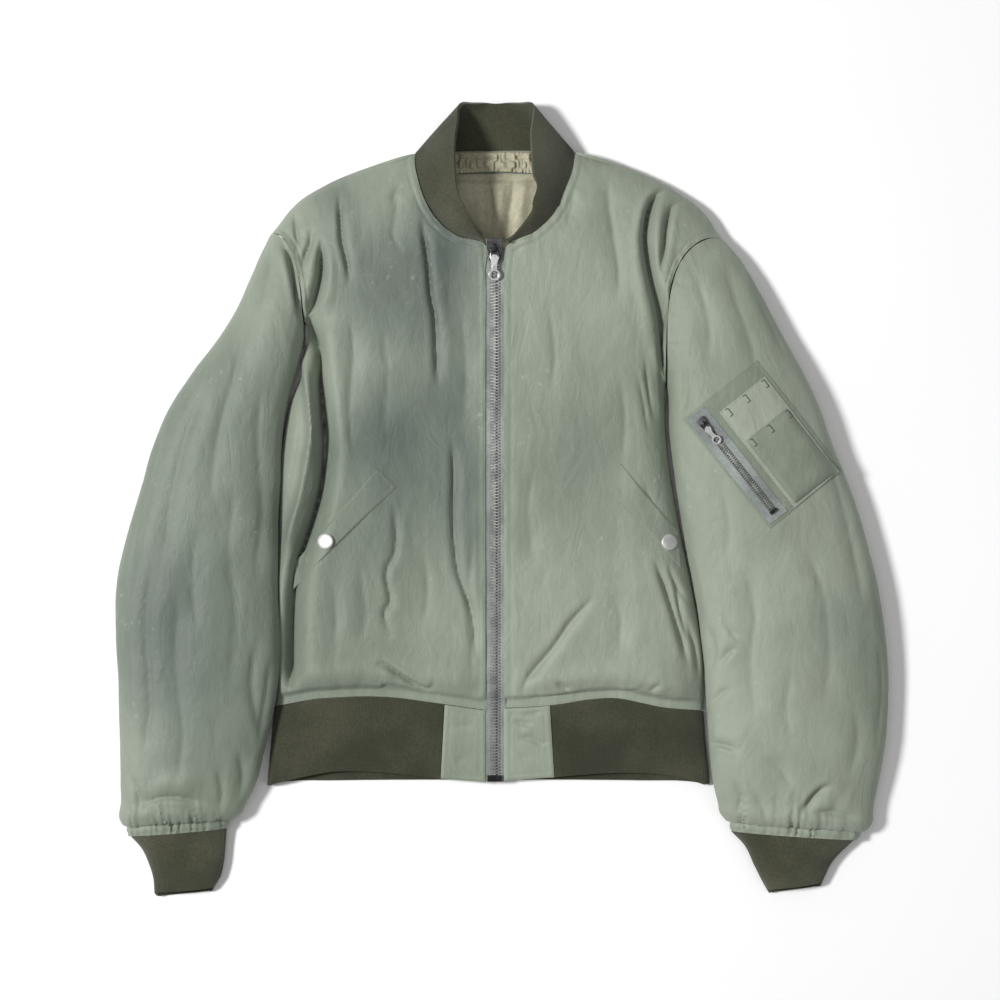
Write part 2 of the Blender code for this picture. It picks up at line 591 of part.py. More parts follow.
def zip_strip(x0, x1, y0, y1, top, thickness, line):
    """A strip along the main zip, with its top that far from the line of the fronts' edges."""
    inside = line[(line[:, 0] > min(y0, y1) + 1) & (line[:, 0] < max(y0, y1) - 1), 0]
    y = np.concatenate([[min(y0, y1)], inside, [max(y0, y1)]])[:, None]
    x = np.linspace(x0, x1, 2)[None]
    outer = np.stack(np.broadcast_arrays(x, y, np.interp(y, *line.T) + top), axis=-1)
    return outer, outer - (0, 0, thickness)


def outline_plate(name, outlines, thickness, finish):
    """A flat plate from its outline and the outlines of its holes, centred on its own plane."""
    curve = bpy.data.curves.new(name, "CURVE")
    curve.dimensions, curve.fill_mode, curve.extrude = "2D", "BOTH", thickness / 2 * MM
    for outline in outlines:
        spline_of = curve.splines.new("POLY")
        spline_of.points.add(len(outline) - 1)
        for point, (x, y) in zip(spline_of.points, outline):
            point.co = (x * MM, y * MM, 0, 1)
        spline_of.use_cyclic_u = True
    curve.materials.append(finish)
    made = bpy.data.objects.new(name, curve)
    bpy.context.scene.collection.objects.link(made)
    return made


def arc(centre_y, radius, start, end, steps):
    """Points of an arc about a centre on the pull's own middle line, angles in degrees."""
    turn = np.radians(np.linspace(start, end, steps))
    return [(radius * math.cos(t), centre_y + radius * math.sin(t)) for t in turn]


def add_pull(name, scale, placed, finish):
    """A zip pull, about its hinge: a cross bar, two legs, a flared head and a ring."""
    half = [(4.0, 0.7), (4.0, -5.2), (4.8, -9.5), (3.0, -14.0), (2.8, -20.5)]
    ring_y, ring_outer, ring_hole = -26.5, 6.0, 3.4
    outline = half + arc(ring_y, ring_outer, 58, -238, 15) + [(-x, y) for x, y in reversed(half)]
    window = [(2.6, -0.7), (-2.6, -0.7), (-2.6, -5.0), (2.6, -5.0)]
    outlines = [outline, window, arc(ring_y, ring_hole, 0, 330, 12)]
    scaled = [[(x * scale, y * scale) for x, y in line] for line in outlines]
    made = outline_plate(name, scaled, PULL_THICK * scale, finish)
    made.matrix_world = placed
    return made


def prism(near, far):
    """Points and faces of a prism between two outlines with as many points each."""
    count = len(near)
    sides = [(i, (i + 1) % count, (i + 1) % count + count, i + count) for i in range(count)]
    return np.array(near + far), [tuple(range(count)), tuple(range(count, 2 * count))] + sides


def add_slider(name, scale, half_width, placed, finish):
    """A zip slider about its pull's hinge: a tapered body with an arch that holds the pull."""
    top, throat = -PIVOT_RISE, half_width * 0.72
    body = [(half_width, 10), (-half_width, 10), (-half_width, 2), (-throat, -12), (throat, -12)]
    body += [(half_width, 2)]
    points, faces = prism(*([(x, y, z) for x, y in body] for z in (top - SLIDER_DEEP, top)))
    made = add_mesh(name, points * scale, faces, finish)
    foot = top - 0.5
    arch = [(-3.7, foot), (-3.7, 2.0), (-2.9, 2.6), (2.9, 2.6), (3.7, 2.0), (3.7, foot)]
    arch += [(2.5, foot), (2.5, 1.2), (-2.5, 1.2), (-2.5, foot)]
    points, faces = prism(*([(x, y, z) for y, z in arch] for x in (-1.7, 1.7)))
    loop = add_mesh(name + "_arch", points * scale, faces, finish)
    loop.hide_render, loop.display_type = True, "WIRE"
    joined = made.modifiers.new("arch", "BOOLEAN")
    joined.operation, joined.object = "UNION", loop
    made.matrix_world = loop.matrix_world = placed
    return made


def placing(point, along, up):
    """A placement at a point in millimetres, with +Y along and +Z as near up as that allows."""
    y = Vector(along).normalized()
    x = y.cross(Vector(up)).normalized()
    z = x.cross(y)
    turned = Matrix((x, y, z)).transposed().to_4x4()
    return Matrix.Translation(Vector(point) * MM) @ turned


def add_snap(name, carrier, place, finish):
    """A domed snap cap seated on a welt."""
    hit, normal = over(carrier, *place)
    sides = 16
    turn = np.arange(sides) * 2 * math.pi / sides
    points = [(r * math.cos(t), r * math.sin(t), z) for r, z in SNAP_PROFILE for t in turn]
    faces = [tuple(range(sides)), tuple(range(len(points) - sides, len(points)))]
    for row in range(len(SNAP_PROFILE) - 1):
        for i in range(sides):
            j = (i + 1) % sides
            faces.append((row * sides + i, row * sides + j, (row + 1) * sides + j, (row + 1) * sides + i))
    made = add_mesh(name, points, faces, finish)
    across = Vector((0, 1, 0)).cross(normal)
    made.matrix_world = placing(hit + normal * SNAP_LIFT, normal.cross(across), normal)
    return made


def add_main_zip(right, panel_right, tape, teeth, metal):
    """The main zip: tapes, teeth, bottom box, slider and pull."""
    line = zip_line(right, panel_right)
    middle = SEAM / 2
    right_span = (FRONT_EDGE_RIGHT + SEAM, ZIP_X - middle)
    left_span = (ZIP_X + middle, FRONT_EDGE_LEFT - SEAM)
    for name, span in (("zip_tape_right", right_span), ("zip_tape_left", left_span)):
        add_wall(name, *zip_strip(*span, ZIP_TOP_Y, ZIP_FOOT_Y, TAPE_DROP, TAPE_PLY, line), tape)
    teeth_top = TAPE_DROP + REST + TEETH_PLY
    span = (ZIP_X - TEETH_WIDE / 2, ZIP_X + TEETH_WIDE / 2)
    rows = (TEETH_TOP_Y, ZIP_FOOT_Y + TEETH_FOOT)
    add_wall("zip_teeth", *zip_strip(*span, *rows, teeth_top, TEETH_PLY, line), teeth)
    span, rows = (ZIP_X - BOX_HALF, ZIP_X + BOX_HALF), (ZIP_FOOT_Y + BOX_TOP, ZIP_FOOT_Y)
    box_top, box_ply = teeth_top + BOX_PROUD, TEETH_PLY + BOX_PROUD
    add_wall("zip_box", *zip_strip(*span, *rows, box_top, box_ply, line), metal)
    pivot_z = np.interp(MAIN_PIVOT_Y, *line.T) + TAPE_DROP + REST + SLIDER_DEEP + PIVOT_RISE
    pivot = (ZIP_X, MAIN_PIVOT_Y, pivot_z)
    add_slider("zip_slider", MAIN_SCALE, 8.2, placing(pivot, (0, 1, 0), (0, 0, 1)), metal)
    tilt = math.tan(math.radians(MAIN_TILT))
    add_pull("zip_pull", MAIN_SCALE, placing(pivot, (0, 1, tilt), (0, 0, 1)), metal)


def add_sleeve_pocket(sleeve, nylon, tape, teeth, metal):
    """The patch pocket on the left sleeve with its two pen layers and its zip."""

    def laid(carrier, along, across, rows, columns, ply, lift):
        return laid_grids(carrier, pocket_plan(along, across, rows, columns), ply, lift, POCKET_BEARING)

    def beside_zip(half):
        return POCKET_ZIP_ACROSS - half, POCKET_ZIP_ACROSS + half

    spans = (0, POCKET_LENGTH), (0, POCKET_WIDTH)
    patch_out, patch_in = laid(sleeve, *spans, *POCKET_PLY_STEPS, POCKET_PLY, PATCH_LIFT)
    add_wall("pocket_patch", patch_out, patch_in, nylon)
    on_patch = surface(patch_out)
    tall_out, tall_in = laid(on_patch, *PEN_BACK_SPANS, 8, 5, PEN_PLY, PLY_LIFT)
    add_wall("pen_pocket_back", tall_out, tall_in, nylon)
    short = laid(surface(tall_out), *PEN_FRONT_SPANS, 6, 5, PEN_PLY, PLY_LIFT)
    add_wall("pen_pocket_front", *short, nylon)
    tape_spans = POCKET_TAPE_SPAN, beside_zip(POCKET_TAPE_HALF)
    tape_out, tape_in = laid(on_patch, *tape_spans, 9, 3, TAPE_PLY, PLY_LIFT)
    add_wall("pocket_zip_tape", tape_out, tape_in, tape)
    on_tape = surface(tape_out)
    teeth_spans = POCKET_TEETH_SPAN, beside_zip(POCKET_TEETH_HALF)
    add_wall("pocket_zip_teeth", *laid(on_tape, *teeth_spans, 7, 2, POCKET_TEETH_PLY, TEETH_LIFT), teeth)
    stop_spans = POCKET_STOP_SPAN, beside_zip(POCKET_STOP_HALF)
    add_wall("pocket_zip_stop", *laid(on_tape, *stop_spans, 2, 2, POCKET_STOP_PLY, TEETH_LIFT), metal)
    zip_start = np.array(POCKET_CORNER) + POCKET_ZIP_ACROSS * np.array(POCKET_ACROSS)
    x, y = zip_start + POCKET_SLIDER_AT * np.array(POCKET_ALONG)
    hit, normal = over(on_tape, x, y)
    ahead = over(on_tape, x + 20 * POCKET_ALONG[0], y + 20 * POCKET_ALONG[1])[0]
    pivot = hit + normal * ((SLIDER_DEEP + PIVOT_RISE) * SMALL_SCALE + SLIDER_LIFT)
    back_along = (hit - ahead).normalized()
    add_slider("pocket_zip_slider", SMALL_SCALE, 7.0, placing(pivot, back_along, normal), metal)
    tilt = normal * math.tan(math.radians(SMALL_TILT))
    add_pull("pocket_zip_pull", SMALL_SCALE, placing(pivot, back_along + tilt, normal), metal)


def main():
    for old in list(bpy.data.objects):
        bpy.data.objects.remove(old)
    nylon = material("nylon", (0.26, 0.31, 0.23), 0.55)
    rib = material("rib", (0.075, 0.08, 0.045), 0.9)
    khaki = material("khaki", (0.24, 0.2, 0.14), 0.7)
    tape = material("tape", (0.33, 0.34, 0.32), 0.85)
    silver = material("silver", (0.6, 0.6, 0.58), 0.35, 1.0)
    gunmetal = material("gunmetal", (0.12, 0.12, 0.12), 0.35, 1.0)
    right, right_in = front_grids(FRONT_RIGHT, SHOULDER_RIGHT, WAIST_RIGHT, SLEEVE_RIGHT)
    left, left_in = front_grids(FRONT_LEFT, SHOULDER_LEFT, WAIST_LEFT, SLEEVE_LEFT)
    add_wall("front_right", right, right_in, nylon)
    add_wall("front_left", left, left_in, nylon)
    back, back_in = back_grids(right, right_in, left, left_in)
    add_wall("back", back, back_in, nylon)
    mirror = np.array((-1, 1, 1))
    shift = ARMHOLE_SHIFT * mirror
    sleeve_right, sleeve_right_in = sleeve_grids(SLEEVE_RIGHT, SLEEVE_SECTIONS, SHELL, shift)
    sleeve_left, sleeve_left_in = sleeve_grids(SLEEVE_LEFT, SLEEVE_SECTIONS, SHELL, ARMHOLE_SHIFT)
    add_wall("sleeve_right", sleeve_right, sleeve_right_in, nylon, wrap=True)
    add_wall("sleeve_left", sleeve_left, sleeve_left_in, nylon, wrap=True)
    for name, rows in (("cuff_right", CUFF_RIGHT), ("cuff_left", CUFF_LEFT)):
        add_wall(name, *sleeve_grids(rows, CUFF_SECTIONS, RIB, slant=CUFF_SLANT), rib, wrap=True)
    add_wall("collar_rib", *collar_grids(right, left, back), rib)
    add_wall("waist_rib", *waist_grids(right, left, back), rib)
    panel_right = hem_panel_grids(right, PLACKET_X_RIGHT, FRONT_EDGE_RIGHT, HEM_RIGHT)
    panel_left = hem_panel_grids(left, PLACKET_X_LEFT, FRONT_EDGE_LEFT, HEM_LEFT)
    add_wall("hem_panel_right", *panel_right, nylon)
    add_wall("hem_panel_left", *panel_left, nylon)
    for side, front, corners, snap in (
        ("right", right, WELT_RIGHT, SNAP_RIGHT),
        ("left", left, WELT_LEFT, SNAP_LEFT),
    ):
        welt_out, welt_in = laid_grids(surface(front), quad_plan(corners, 9, 4), WELT_PLY, WELT_LIFT)
        add_wall("pocket_welt_" + side, welt_out, welt_in, nylon)
        add_snap("snap_cap_" + side, surface(welt_out), snap, silver)
    on_back = surface(back_in)
    add_wall("neck_facing", *laid_grids(on_back, quad_plan(FACING_CORNERS, 3, 7), FACING), khaki)
    add_wall("back_lining", *laid_grids(on_back, quad_plan(LINING_CORNERS, 5, 6), LINING), khaki)
    add_main_zip(right, panel_right[0], tape, silver, gunmetal)
    add_sleeve_pocket(surface(sleeve_left, wrap=True), nylon, tape, silver, gunmetal)


main()
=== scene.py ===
import json
import math
from types import SimpleNamespace

import bmesh
import bpy
import numpy as np
from mathutils import Matrix, Vector
from mathutils.bvhtree import BVHTree


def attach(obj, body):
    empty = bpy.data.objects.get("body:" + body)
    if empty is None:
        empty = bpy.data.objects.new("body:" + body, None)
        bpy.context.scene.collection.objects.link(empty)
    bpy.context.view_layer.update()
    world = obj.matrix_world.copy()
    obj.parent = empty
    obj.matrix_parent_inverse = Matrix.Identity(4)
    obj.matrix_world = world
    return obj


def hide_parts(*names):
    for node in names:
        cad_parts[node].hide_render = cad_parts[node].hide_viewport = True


# A padded nylon bomber jacket laid flat: +X is the wearer's left, +Y runs from hem to collar. Shapes are
# worked out in millimetres in the CAD's frame, from the same sections as its solids, and scaled as made.
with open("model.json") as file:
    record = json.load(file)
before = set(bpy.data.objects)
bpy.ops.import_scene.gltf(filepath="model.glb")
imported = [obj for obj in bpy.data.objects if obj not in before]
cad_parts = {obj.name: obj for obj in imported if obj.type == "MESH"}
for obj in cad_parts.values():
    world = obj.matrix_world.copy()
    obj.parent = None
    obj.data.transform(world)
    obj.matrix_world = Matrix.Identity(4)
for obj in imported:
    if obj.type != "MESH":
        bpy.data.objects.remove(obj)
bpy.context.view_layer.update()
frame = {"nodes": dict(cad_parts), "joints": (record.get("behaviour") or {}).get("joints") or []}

MM = 0.001
FAR_BELOW = np.array((0.0, 0.0, -600.0))
SHELL, RIB = 3.0, 3.5
SEAM, REST = 0.6, 0.35
ARMHOLE_SHIFT = np.array((1.1, -0.9, 0.0))
SHOULDER_Z, NECK_Z, SIDE_Z, WAIST_EDGE_Z = 17.0, 14.0, 12.0, 7.0
BACK_ROLL = 22.0
ZIP_X = -5.5
FRONT_EDGE_RIGHT, FRONT_EDGE_LEFT = -14.5, 4.0
WIDEST = 0.42
SIDE_SHARE = (0.3, 0.3, 1.0)  # how far a front's folds follow its normals: mostly upwards

# Spacing of the fine grids, and the knit's and seams' own sizes.
FRONT_SPACING, SLEEVE_SPACING, BACK_SPACING = 2.0, 2.6, 4.0
RIB_PITCH, RIB_SAMPLES, RIB_RELIEF = 2.3, 5, 0.55
NECK_MARGIN, EDGE_MARGIN, ARM_MARGIN, WAIST_MARGIN, CUFF_MARGIN = 7.5, 6.0, 5.5, 7.5, 9.0
PANEL_INSET = 6.0
SMALL_PULL = 0.8  # size of the sleeve pocket's pull against the main one
PULL_HEAD = 7.0  # where a pull's bright head starts, from its hinge
# A snap cap's turned outline from its foot to its crown: radius and height.
SNAP_CURVE = [
    (6.6, -0.6), (8.05, 0.2), (8.2, 0.7), (8.0, 1.3), (7.2, 2.0), (6.0, 2.5), (4.4, 2.85), (2.4, 3.05),
    (0.8, 3.1),
]
SNAP_SIDES = 48
FLOOR_SIZE = 6.0
FLOOR_DROP = -0.0004
CAMERA_HEIGHT, CAMERA_LENS = 3.02, 108.0
WORLD_LIGHT = 0.24
# Soft lights: place, size across and power. The key comes from the left.
LIGHTS = [
    ("key", (-2.95, 0.4, 3.7), 0.9, 215.0),
    ("fill", (1.6, -0.6, 2.4), 2.2, 9.0),
    ("top", (-0.2, 0.6, 2.8), 1.6, 8.0),
]

# The cut of each piece: its flat width and length in millimetres and its flat area in square metres.
CUTS = {
    "front_right": ((250, 610), 0.125), "front_left": ((250, 610), 0.118), "back": ((500, 600), 0.24),
    "sleeve_right": ((400, 640), 0.21), "sleeve_left": ((420, 640), 0.22), "collar_rib": ((420, 66), 0.0215),
    "waist_rib": ((880, 76), 0.064), "cuff_right": ((200, 62), 0.0118), "cuff_left": ((210, 62), 0.0118),
    "hem_panel": ((50, 74), 0.0036), "neck_facing": ((160, 26), 0.0040), "back_lining": ((204, 180), 0.0285),
    "zip_tape": ((11, 536), 0.0058), "welt": ((27, 130), 0.0032), "patch": ((94, 138), 0.0129),
    "pen_back": ((58, 120), 0.0069), "pen_front": ((60, 83), 0.0049), "pocket_tape": ((22, 132), 0.0029),
}


# A sleeve's sections from armhole to wrist. outer and inner are its edges as seen from above, height
# is its thickness as it lies, and bow is how far the section curves towards the body.
SLEEVE_COLUMNS = "outer_x outer_y inner_x inner_y height bow"
SLEEVE_RIGHT = [
    (-228, 267, -195, 176, 41, 14),
    (-240, 242, -197, 159, 45, 11),
    (-254, 211, -201, 140, 49, 8),
    (-272, 176, -206, 120, 51, 5),
    (-294, 144, -213, 97, 53, 3),
    (-320, 108, -217, 66, 54, 1),
    (-343, 62, -219, 30, 54, 0),
    (-360, 5, -220, -12, 54, 0),
    (-373, -42, -220, -48, 53, 0),
    (-384, -95, -220, -96, 52, 0),
    (-384, -150, -219, -145, 51, 0),
    (-381, -205, -224, -195, 49, 0),
    (-380, -250, -233, -240, 46, 0),
    (-380, -290, -245, -283, 42, 0),
    (-379, -318, -259, -308, 36, 0),
    (-372, -336, -273, -328, 27, 0),
]
SLEEVE_LEFT = [
    (221, 262, 166, 114, 41, -32),
    (236, 246, 167, 98, 45, -24),
    (254, 218, 168, 70, 49, -16),
    (271, 187, 170, 42, 51, -9),
    (289, 152, 174, 13, 53, -5),
    (307, 116, 179, -22, 54, -2),
    (325, 70, 185, -56, 54, 0),
    (342, 30, 191, -86, 54, 0),
    (357, -12, 197, -120, 53, 0),
    (370, -60, 202, -160, 52, 0),
    (380, -108, 204, -200, 50, 0),
    (386, -165, 207, -240, 48, 0),
    (385, -222, 210, -272, 45, 0),
    (377, -280, 217, -302, 40, 0),
    (367, -325, 226, -320, 33, 0),
    (357, -340, 231, -331, 26, 0),
]
CUFF_RIGHT = [
    (-370, -337, -274, -329, 26, 0),
    (-359, -350, -275, -342, 23, 0),
    (-352, -366, -277, -362, 22, 0),
    (-348, -380, -281, -378, 20, 0),
    (-347, -394, -288, -389, 18, 0),
]
CUFF_LEFT = [
    (355, -341, 232, -332, 25, 0),
    (343, -352, 246, -347, 23, 0),
    (333, -364, 256, -368, 22, 0),
    (327, -376, 263, -382, 20, 0),
    (323, -384, 269, -391, 18, 0),
]
CUFF_SLANT = 4.0  # how far the cuff's under layer reaches past its upper layer at the mouth

# A front's sections from shoulder to waist: edge_x, edge_y is the neck or zip edge and edge_z its
# height, side_x, side_y the armhole or side seam and side_z its height, and crest the height between.
# Down to the armpit the side comes from the sleeve's first section instead.
FRONT_COLUMNS = "edge_x edge_y edge_z side_x side_y side_z crest"
NECK_ROWS = 7  # sections that end on the neck seam, and on the armhole
FRONT_RIGHT = [
    (-85, 347, NECK_Z, 0, 0, 0, 15.5),
    (-85, 334, 26, 0, 0, 0, 27),
    (-80, 313, 33, 0, 0, 0, 35),
    (-69, 287, 36, 0, 0, 0, 40),
    (-51, 268, 37, 0, 0, 0, 43),
    (-33, 259, 37, 0, 0, 0, 43),
    (-17, 256, 36, 0, 0, 0, 43),
    (FRONT_EDGE_RIGHT, 220, 36, -197, 130, SIDE_Z, 42),
    (FRONT_EDGE_RIGHT, 150, 36, -214, 86, SIDE_Z, 42),
    (FRONT_EDGE_RIGHT, 75, 36, -221, 30, SIDE_Z, 41),
    (FRONT_EDGE_RIGHT, -10, 35, -223, -40, SIDE_Z, 40),
    (FRONT_EDGE_RIGHT, -95, 34, -223, -105, SIDE_Z, 39),
    (FRONT_EDGE_RIGHT, -160, 31, -223, -160, SIDE_Z, 38),
    (FRONT_EDGE_RIGHT, -193, 25, -225, -190, 9, 33),
    (FRONT_EDGE_RIGHT, -210, 18, -227, -207, WAIST_EDGE_Z, 19),
]
FRONT_LEFT = [
    (74, 349, NECK_Z, 0, 0, 0, 15.5),
    (73, 331, 26, 0, 0, 0, 27),
    (65, 308, 33, 0, 0, 0, 35),
    (56, 287, 36, 0, 0, 0, 40),
    (42, 272, 37, 0, 0, 0, 43),
    (26, 261, 37, 0, 0, 0, 43),
    (8, 254, 36, 0, 0, 0, 43),
    (FRONT_EDGE_LEFT, 215, 36, 166, 80, SIDE_Z, 42),
    (FRONT_EDGE_LEFT, 150, 36, 169, 40, SIDE_Z, 42),
    (FRONT_EDGE_LEFT, 75, 36, 177, -10, SIDE_Z, 41),
    (FRONT_EDGE_LEFT, -10, 35, 187, -60, SIDE_Z, 40),
    (FRONT_EDGE_LEFT, -95, 34, 198, -112, SIDE_Z, 39),
    (FRONT_EDGE_LEFT, -160, 31, 204, -160, SIDE_Z, 38),
    (FRONT_EDGE_LEFT, -193, 25, 205, -192, 9, 33),
    (FRONT_EDGE_LEFT, -208, 18, 204, -211, WAIST_EDGE_Z, 19),
]
SHOULDER_RIGHT = [(-228, 267), (-197, 302), (-140, 330), (-85, 347)]
SHOULDER_LEFT = [(221, 262), (196, 295), (136, 329), (74, 349)]
WAIST_RIGHT = [(-227, -207), (-187, -199), (-144, -196), (-109, -197), (-78, -201), (-14.5, -210)]
WAIST_LEFT = [(204, -211), (166, -208), (118, -198), (81, -200), (50, -206), (4, -208)]
PLACKET_X_RIGHT, PLACKET_X_LEFT = -56.0, 50.5  # where the ribbed waistband ends

# The waistband's free edge, as x and y, from the side to the zip.
HEM_RIGHT = [(-236, -287), (-196, -277), (-166, -272), (-137, -272), (-104, -274), (-61, -279), (-14, -283)]
HEM_LEFT = [(4, -281), (52, -278), (100, -274), (137, -273), (173, -276), (211, -285)]
HEM_BACK_Y, HEM_Z = -281.0, 14.0

# The collar's free edge beside each section of the neck seam, from the shoulder to the zip.
COLLAR_RIGHT = [
    (-38, 397, 26), (-45, 362, 50), (-45, 328, 60), (-42, 303, 58), (-33, 287, 54), (-26, 275, 48),
    (-17, 262, 40),
]
COLLAR_LEFT = [
    (31, 397, 26), (32, 350, 52), (34, 322, 59), (37.5, 311, 58), (32.5, 296, 54), (30, 283, 47),
    (8, 258, 40),
]
COLLAR_BACK = [(-38, 395.5, 26), (-22, 398.5, 15), (-4, 397.5, 12), (14, 398.5, 15), (31, 395.5, 26)]
COLLAR_BULGE = 4.0
HEM_SPREAD = 1.03  # how much wider the waistband is at its free edge
PLACKET_SPREAD = 1.08  # how much further from the zip a hem panel reaches at its free edge
HEM_PANEL = 4.5  # its thickness

# The patch pocket on the left sleeve: its upper inner corner, and the ways along and across it.
POCKET_CORNER, POCKET_ALONG, POCKET_ACROSS = (181.0, 80.0), (0.62, -0.785), (0.785, 0.62)
POCKET_LENGTH, POCKET_WIDTH = 138.0, 94.0
POCKET_ZIP_ACROSS = 13.5  # middle of its zip

# Corners of the slanted welts: upper inner, upper outer, lower inner, lower outer.
WELT_RIGHT = [(-121, 31), (-205, -62), (-103, 13), (-207, -89)]
WELT_LEFT = [(120, 36), (177, -31), (101, 16), (180, -67)]

ZIP_TOP_Y, ZIP_FOOT_Y, TEETH_TOP_Y = 252.0, -282.0, 232.0
TAPE_DROP, TAPE_PLY, TEETH_WIDE, TEETH_PLY = -1.2, 1.0, 9.0, 2.4
TEETH_PITCH = 3.0
PULL_THICK = 1.4

# A zip pull's right half from its hinge down to its ring, the window for the slider's bar, and its ring.
PULL_HALF = [
    (4.0, 0.7), (4.05, -2.2), (4.0, -5.2), (4.8, -9.0), (4.6, -10.2), (3.0, -14.0),
    (2.7, -17.5), (2.8, -20.5),
]
PULL_WINDOW = [(2.6, -0.7), (-2.6, -0.7), (-2.6, -5.0), (-1.8, -6.0), (1.8, -6.0), (2.6, -5.0)]
RING_Y, RING_OUTER, RING_HOLE = -26.5, 6.0, 3.4

# Plan corners of the neck facing and of the lining below it, in the order of quad_plan.
FACING_CORNERS = [(-60, 350), (50, 350), (-62, 326.5), (52, 326.5)]
LINING_CORNERS = [(-60, 327.5), (50, 327.5), (-105, 150), (98, 150)]
ZIGZAG_STEP, ZIGZAG_TOP, ZIGZAG_FOOT = 2.1, 349.6, 346.8

# The sleeve pocket's pen layers: their spans along and across the pocket, and where their bar tacks are.
PEN_BACK_SPANS = (17, 137), (32, 90)
PEN_FRONT_SPANS = (55, 138), (31.5, 91)
TACKS_ACROSS = (38.0, 60.0, 84.0)
POCKET_TEETH_RISE = 1.3  # how far the tops of the pocket zip's teeth stand above its tape

RAY_HEIGHT = 500.0  # where the rays that find a carrier's height start
HASH_X, HASH_Y, HASH_SEED = 374761393, 668265263, 2147483647  # large odd numbers that mix a lattice point

ARM_STEPS = 9  # steps of a sleeve's section over its top, and as many below
BODY_ROWS = 9  # rows of a front below the armpit
ROLL_SHARE = 0.3  # share of a front's width over which it rounds up
NECK_FROM = 6  # the back's column that starts its neck edge

# Colours, in linear light. The nylon is a washed sage, paler where it has faded most.
SAGE, SAGE_PALE, SAGE_DARK = (0.212, 0.248, 0.19), (0.275, 0.31, 0.248), (0.088, 0.112, 0.097)
SAGE_POCKET, SAGE_POCKET_PALE = (0.165, 0.2, 0.15), (0.215, 0.25, 0.192)
SAGE_PEN, SAGE_PEN_PALE = (0.26, 0.3, 0.235), (0.33, 0.365, 0.3)
FLECK = (0.46, 0.5, 0.42)
RIB_DARK, RIB_PALE = (0.038, 0.04, 0.022), (0.066, 0.068, 0.041)
KHAKI_LOW, KHAKI_HIGH = (0.36, 0.34, 0.235), (0.5, 0.475, 0.345)
TAPE_LOW, TAPE_HIGH = (0.2, 0.22, 0.212), (0.31, 0.335, 0.32)
THREAD_LOW, THREAD_HIGH = (0.2, 0.245, 0.18), (0.36, 0.41, 0.32)
PALE_THREAD = (0.66, 0.63, 0.48)
DARK_THREAD_LOW, DARK_THREAD_HIGH = (0.04, 0.05, 0.04), (0.08, 0.1, 0.075)

# Where a material's noise mostly lies, and how far from a blotch's middle it starts and ends.
NOISE_LOW, NOISE_HIGH = 0.3, 0.7
BLOTCH_OUTSIDE, BLOTCH_INSIDE = 1.75, 0.45

# Darker blotches on the shell: middle, reach across and along in millimetres, and strength. The first two are
# broad and darken the wearer's right sleeve and front as a whole.
BLOTCHES = [
    (-300, -60, 170, 330, 0.5),
    (-110, 40, 120, 280, 0.22),
    (-62, 240, 56, 110, 0.9),
    (-118, 225, 62, 100, 0.75),
    (-158, 290, 40, 70, 0.5),
    (-112, 62, 68, 62, 0.9),
    (-50, 95, 42, 110, 0.7),
    (-36, -20, 30, 90, 0.55),
    (-105, -15, 50, 50, 0.35),
    (-338, -120, 52, 95, 0.7),
    (-262, 70, 50, 90, 0.25),
    (85, 45, 48, 80, 0.3),
    (105, 255, 60, 60, 0.18),
    (62, 140, 36, 100, 0.16),
    (335, -130, 60, 60, 0.34),
    (258, 10, 40, 70, 0.18),
    (165, -20, 40, 70, 0.2),
]


def spline(values, at):
    """A smooth curve through the rows of values, read at fractional row numbers."""
    values = np.asarray(values, float)
    ends = 2 * values[0] - values[1], 2 * values[-1] - values[-2]
    padded = np.concatenate([ends[0][None], values, ends[1][None]])
    row = np.clip(np.floor(at).astype(int), 0, len(values) - 2)
    t = (at - row).reshape((-1,) + (1,) * (values.ndim - 1))
    a, b, c, d = (padded[row + k] for k in range(4))
    return b + 0.5 * t * (c - a + t * (2 * a - 5 * b + 4 * c - d + t * (3 * (b - c) + d - a)))


def evenly(values, count):
    """That many points spread along the smooth curve through values."""
    return spline(values, np.linspace(0, len(values) - 1, count))


def lengths(points):
    """How far along each point is, as a share of the whole polyline."""
    steps = np.linalg.norm(np.diff(points, axis=0), axis=1)
    run = np.concatenate([[0], np.cumsum(steps)])
    return run / run[-1]


def unit(vectors):
    """The same vectors at length 1."""
    return vectors / np.linalg.norm(vectors, axis=-1, keepdims=True)


def strip(a, b):
    """Quads between two rows of point numbers."""
    return [(int(a[i]), int(a[i + 1]), int(b[i + 1]), int(b[i])) for i in range(len(a) - 1)]


def level(normals):
    """The same normals turned level, for the rim of a piece at a seam that another meets from below."""
    return unit(normals * (1, 1, 0))


def patch(top, bottom, start, end):
    """Plan points of a four-sided panel from its edges. Rows run down it and columns run across."""
    u = lengths(bottom)[None, :, None]
    v = ((lengths(start) + lengths(end)) / 2)[:, None, None]
    across = (1 - v) * top[None] + v * bottom[None]
    down = (1 - u) * start[:, None] + u * end[:, None]
    corners = (1 - v) * ((1 - u) * top[0] + u * top[-1]) + v * ((1 - u) * bottom[0] + u * bottom[-1])
    return across + down - corners


def border_of(grid):
    """The points round a grid's four edges."""
    return np.concatenate([grid[0], grid[:, -1], grid[-1][::-1], grid[::-1, 0]])


def table(columns, rows):
    """A table's columns by name, each as an array."""
    return {name: np.array(values, float) for name, values in zip(columns.split(), zip(*rows))}


def ways_out(grid, centre):
    """Unit normals of a grid of points, on the side away from centre."""
    across, down = np.gradient(grid, axis=1), np.gradient(grid, axis=0)
    normals = unit(np.cross(across, down))
    return normals if np.sum(normals * (grid - centre)) > 0 else -normals


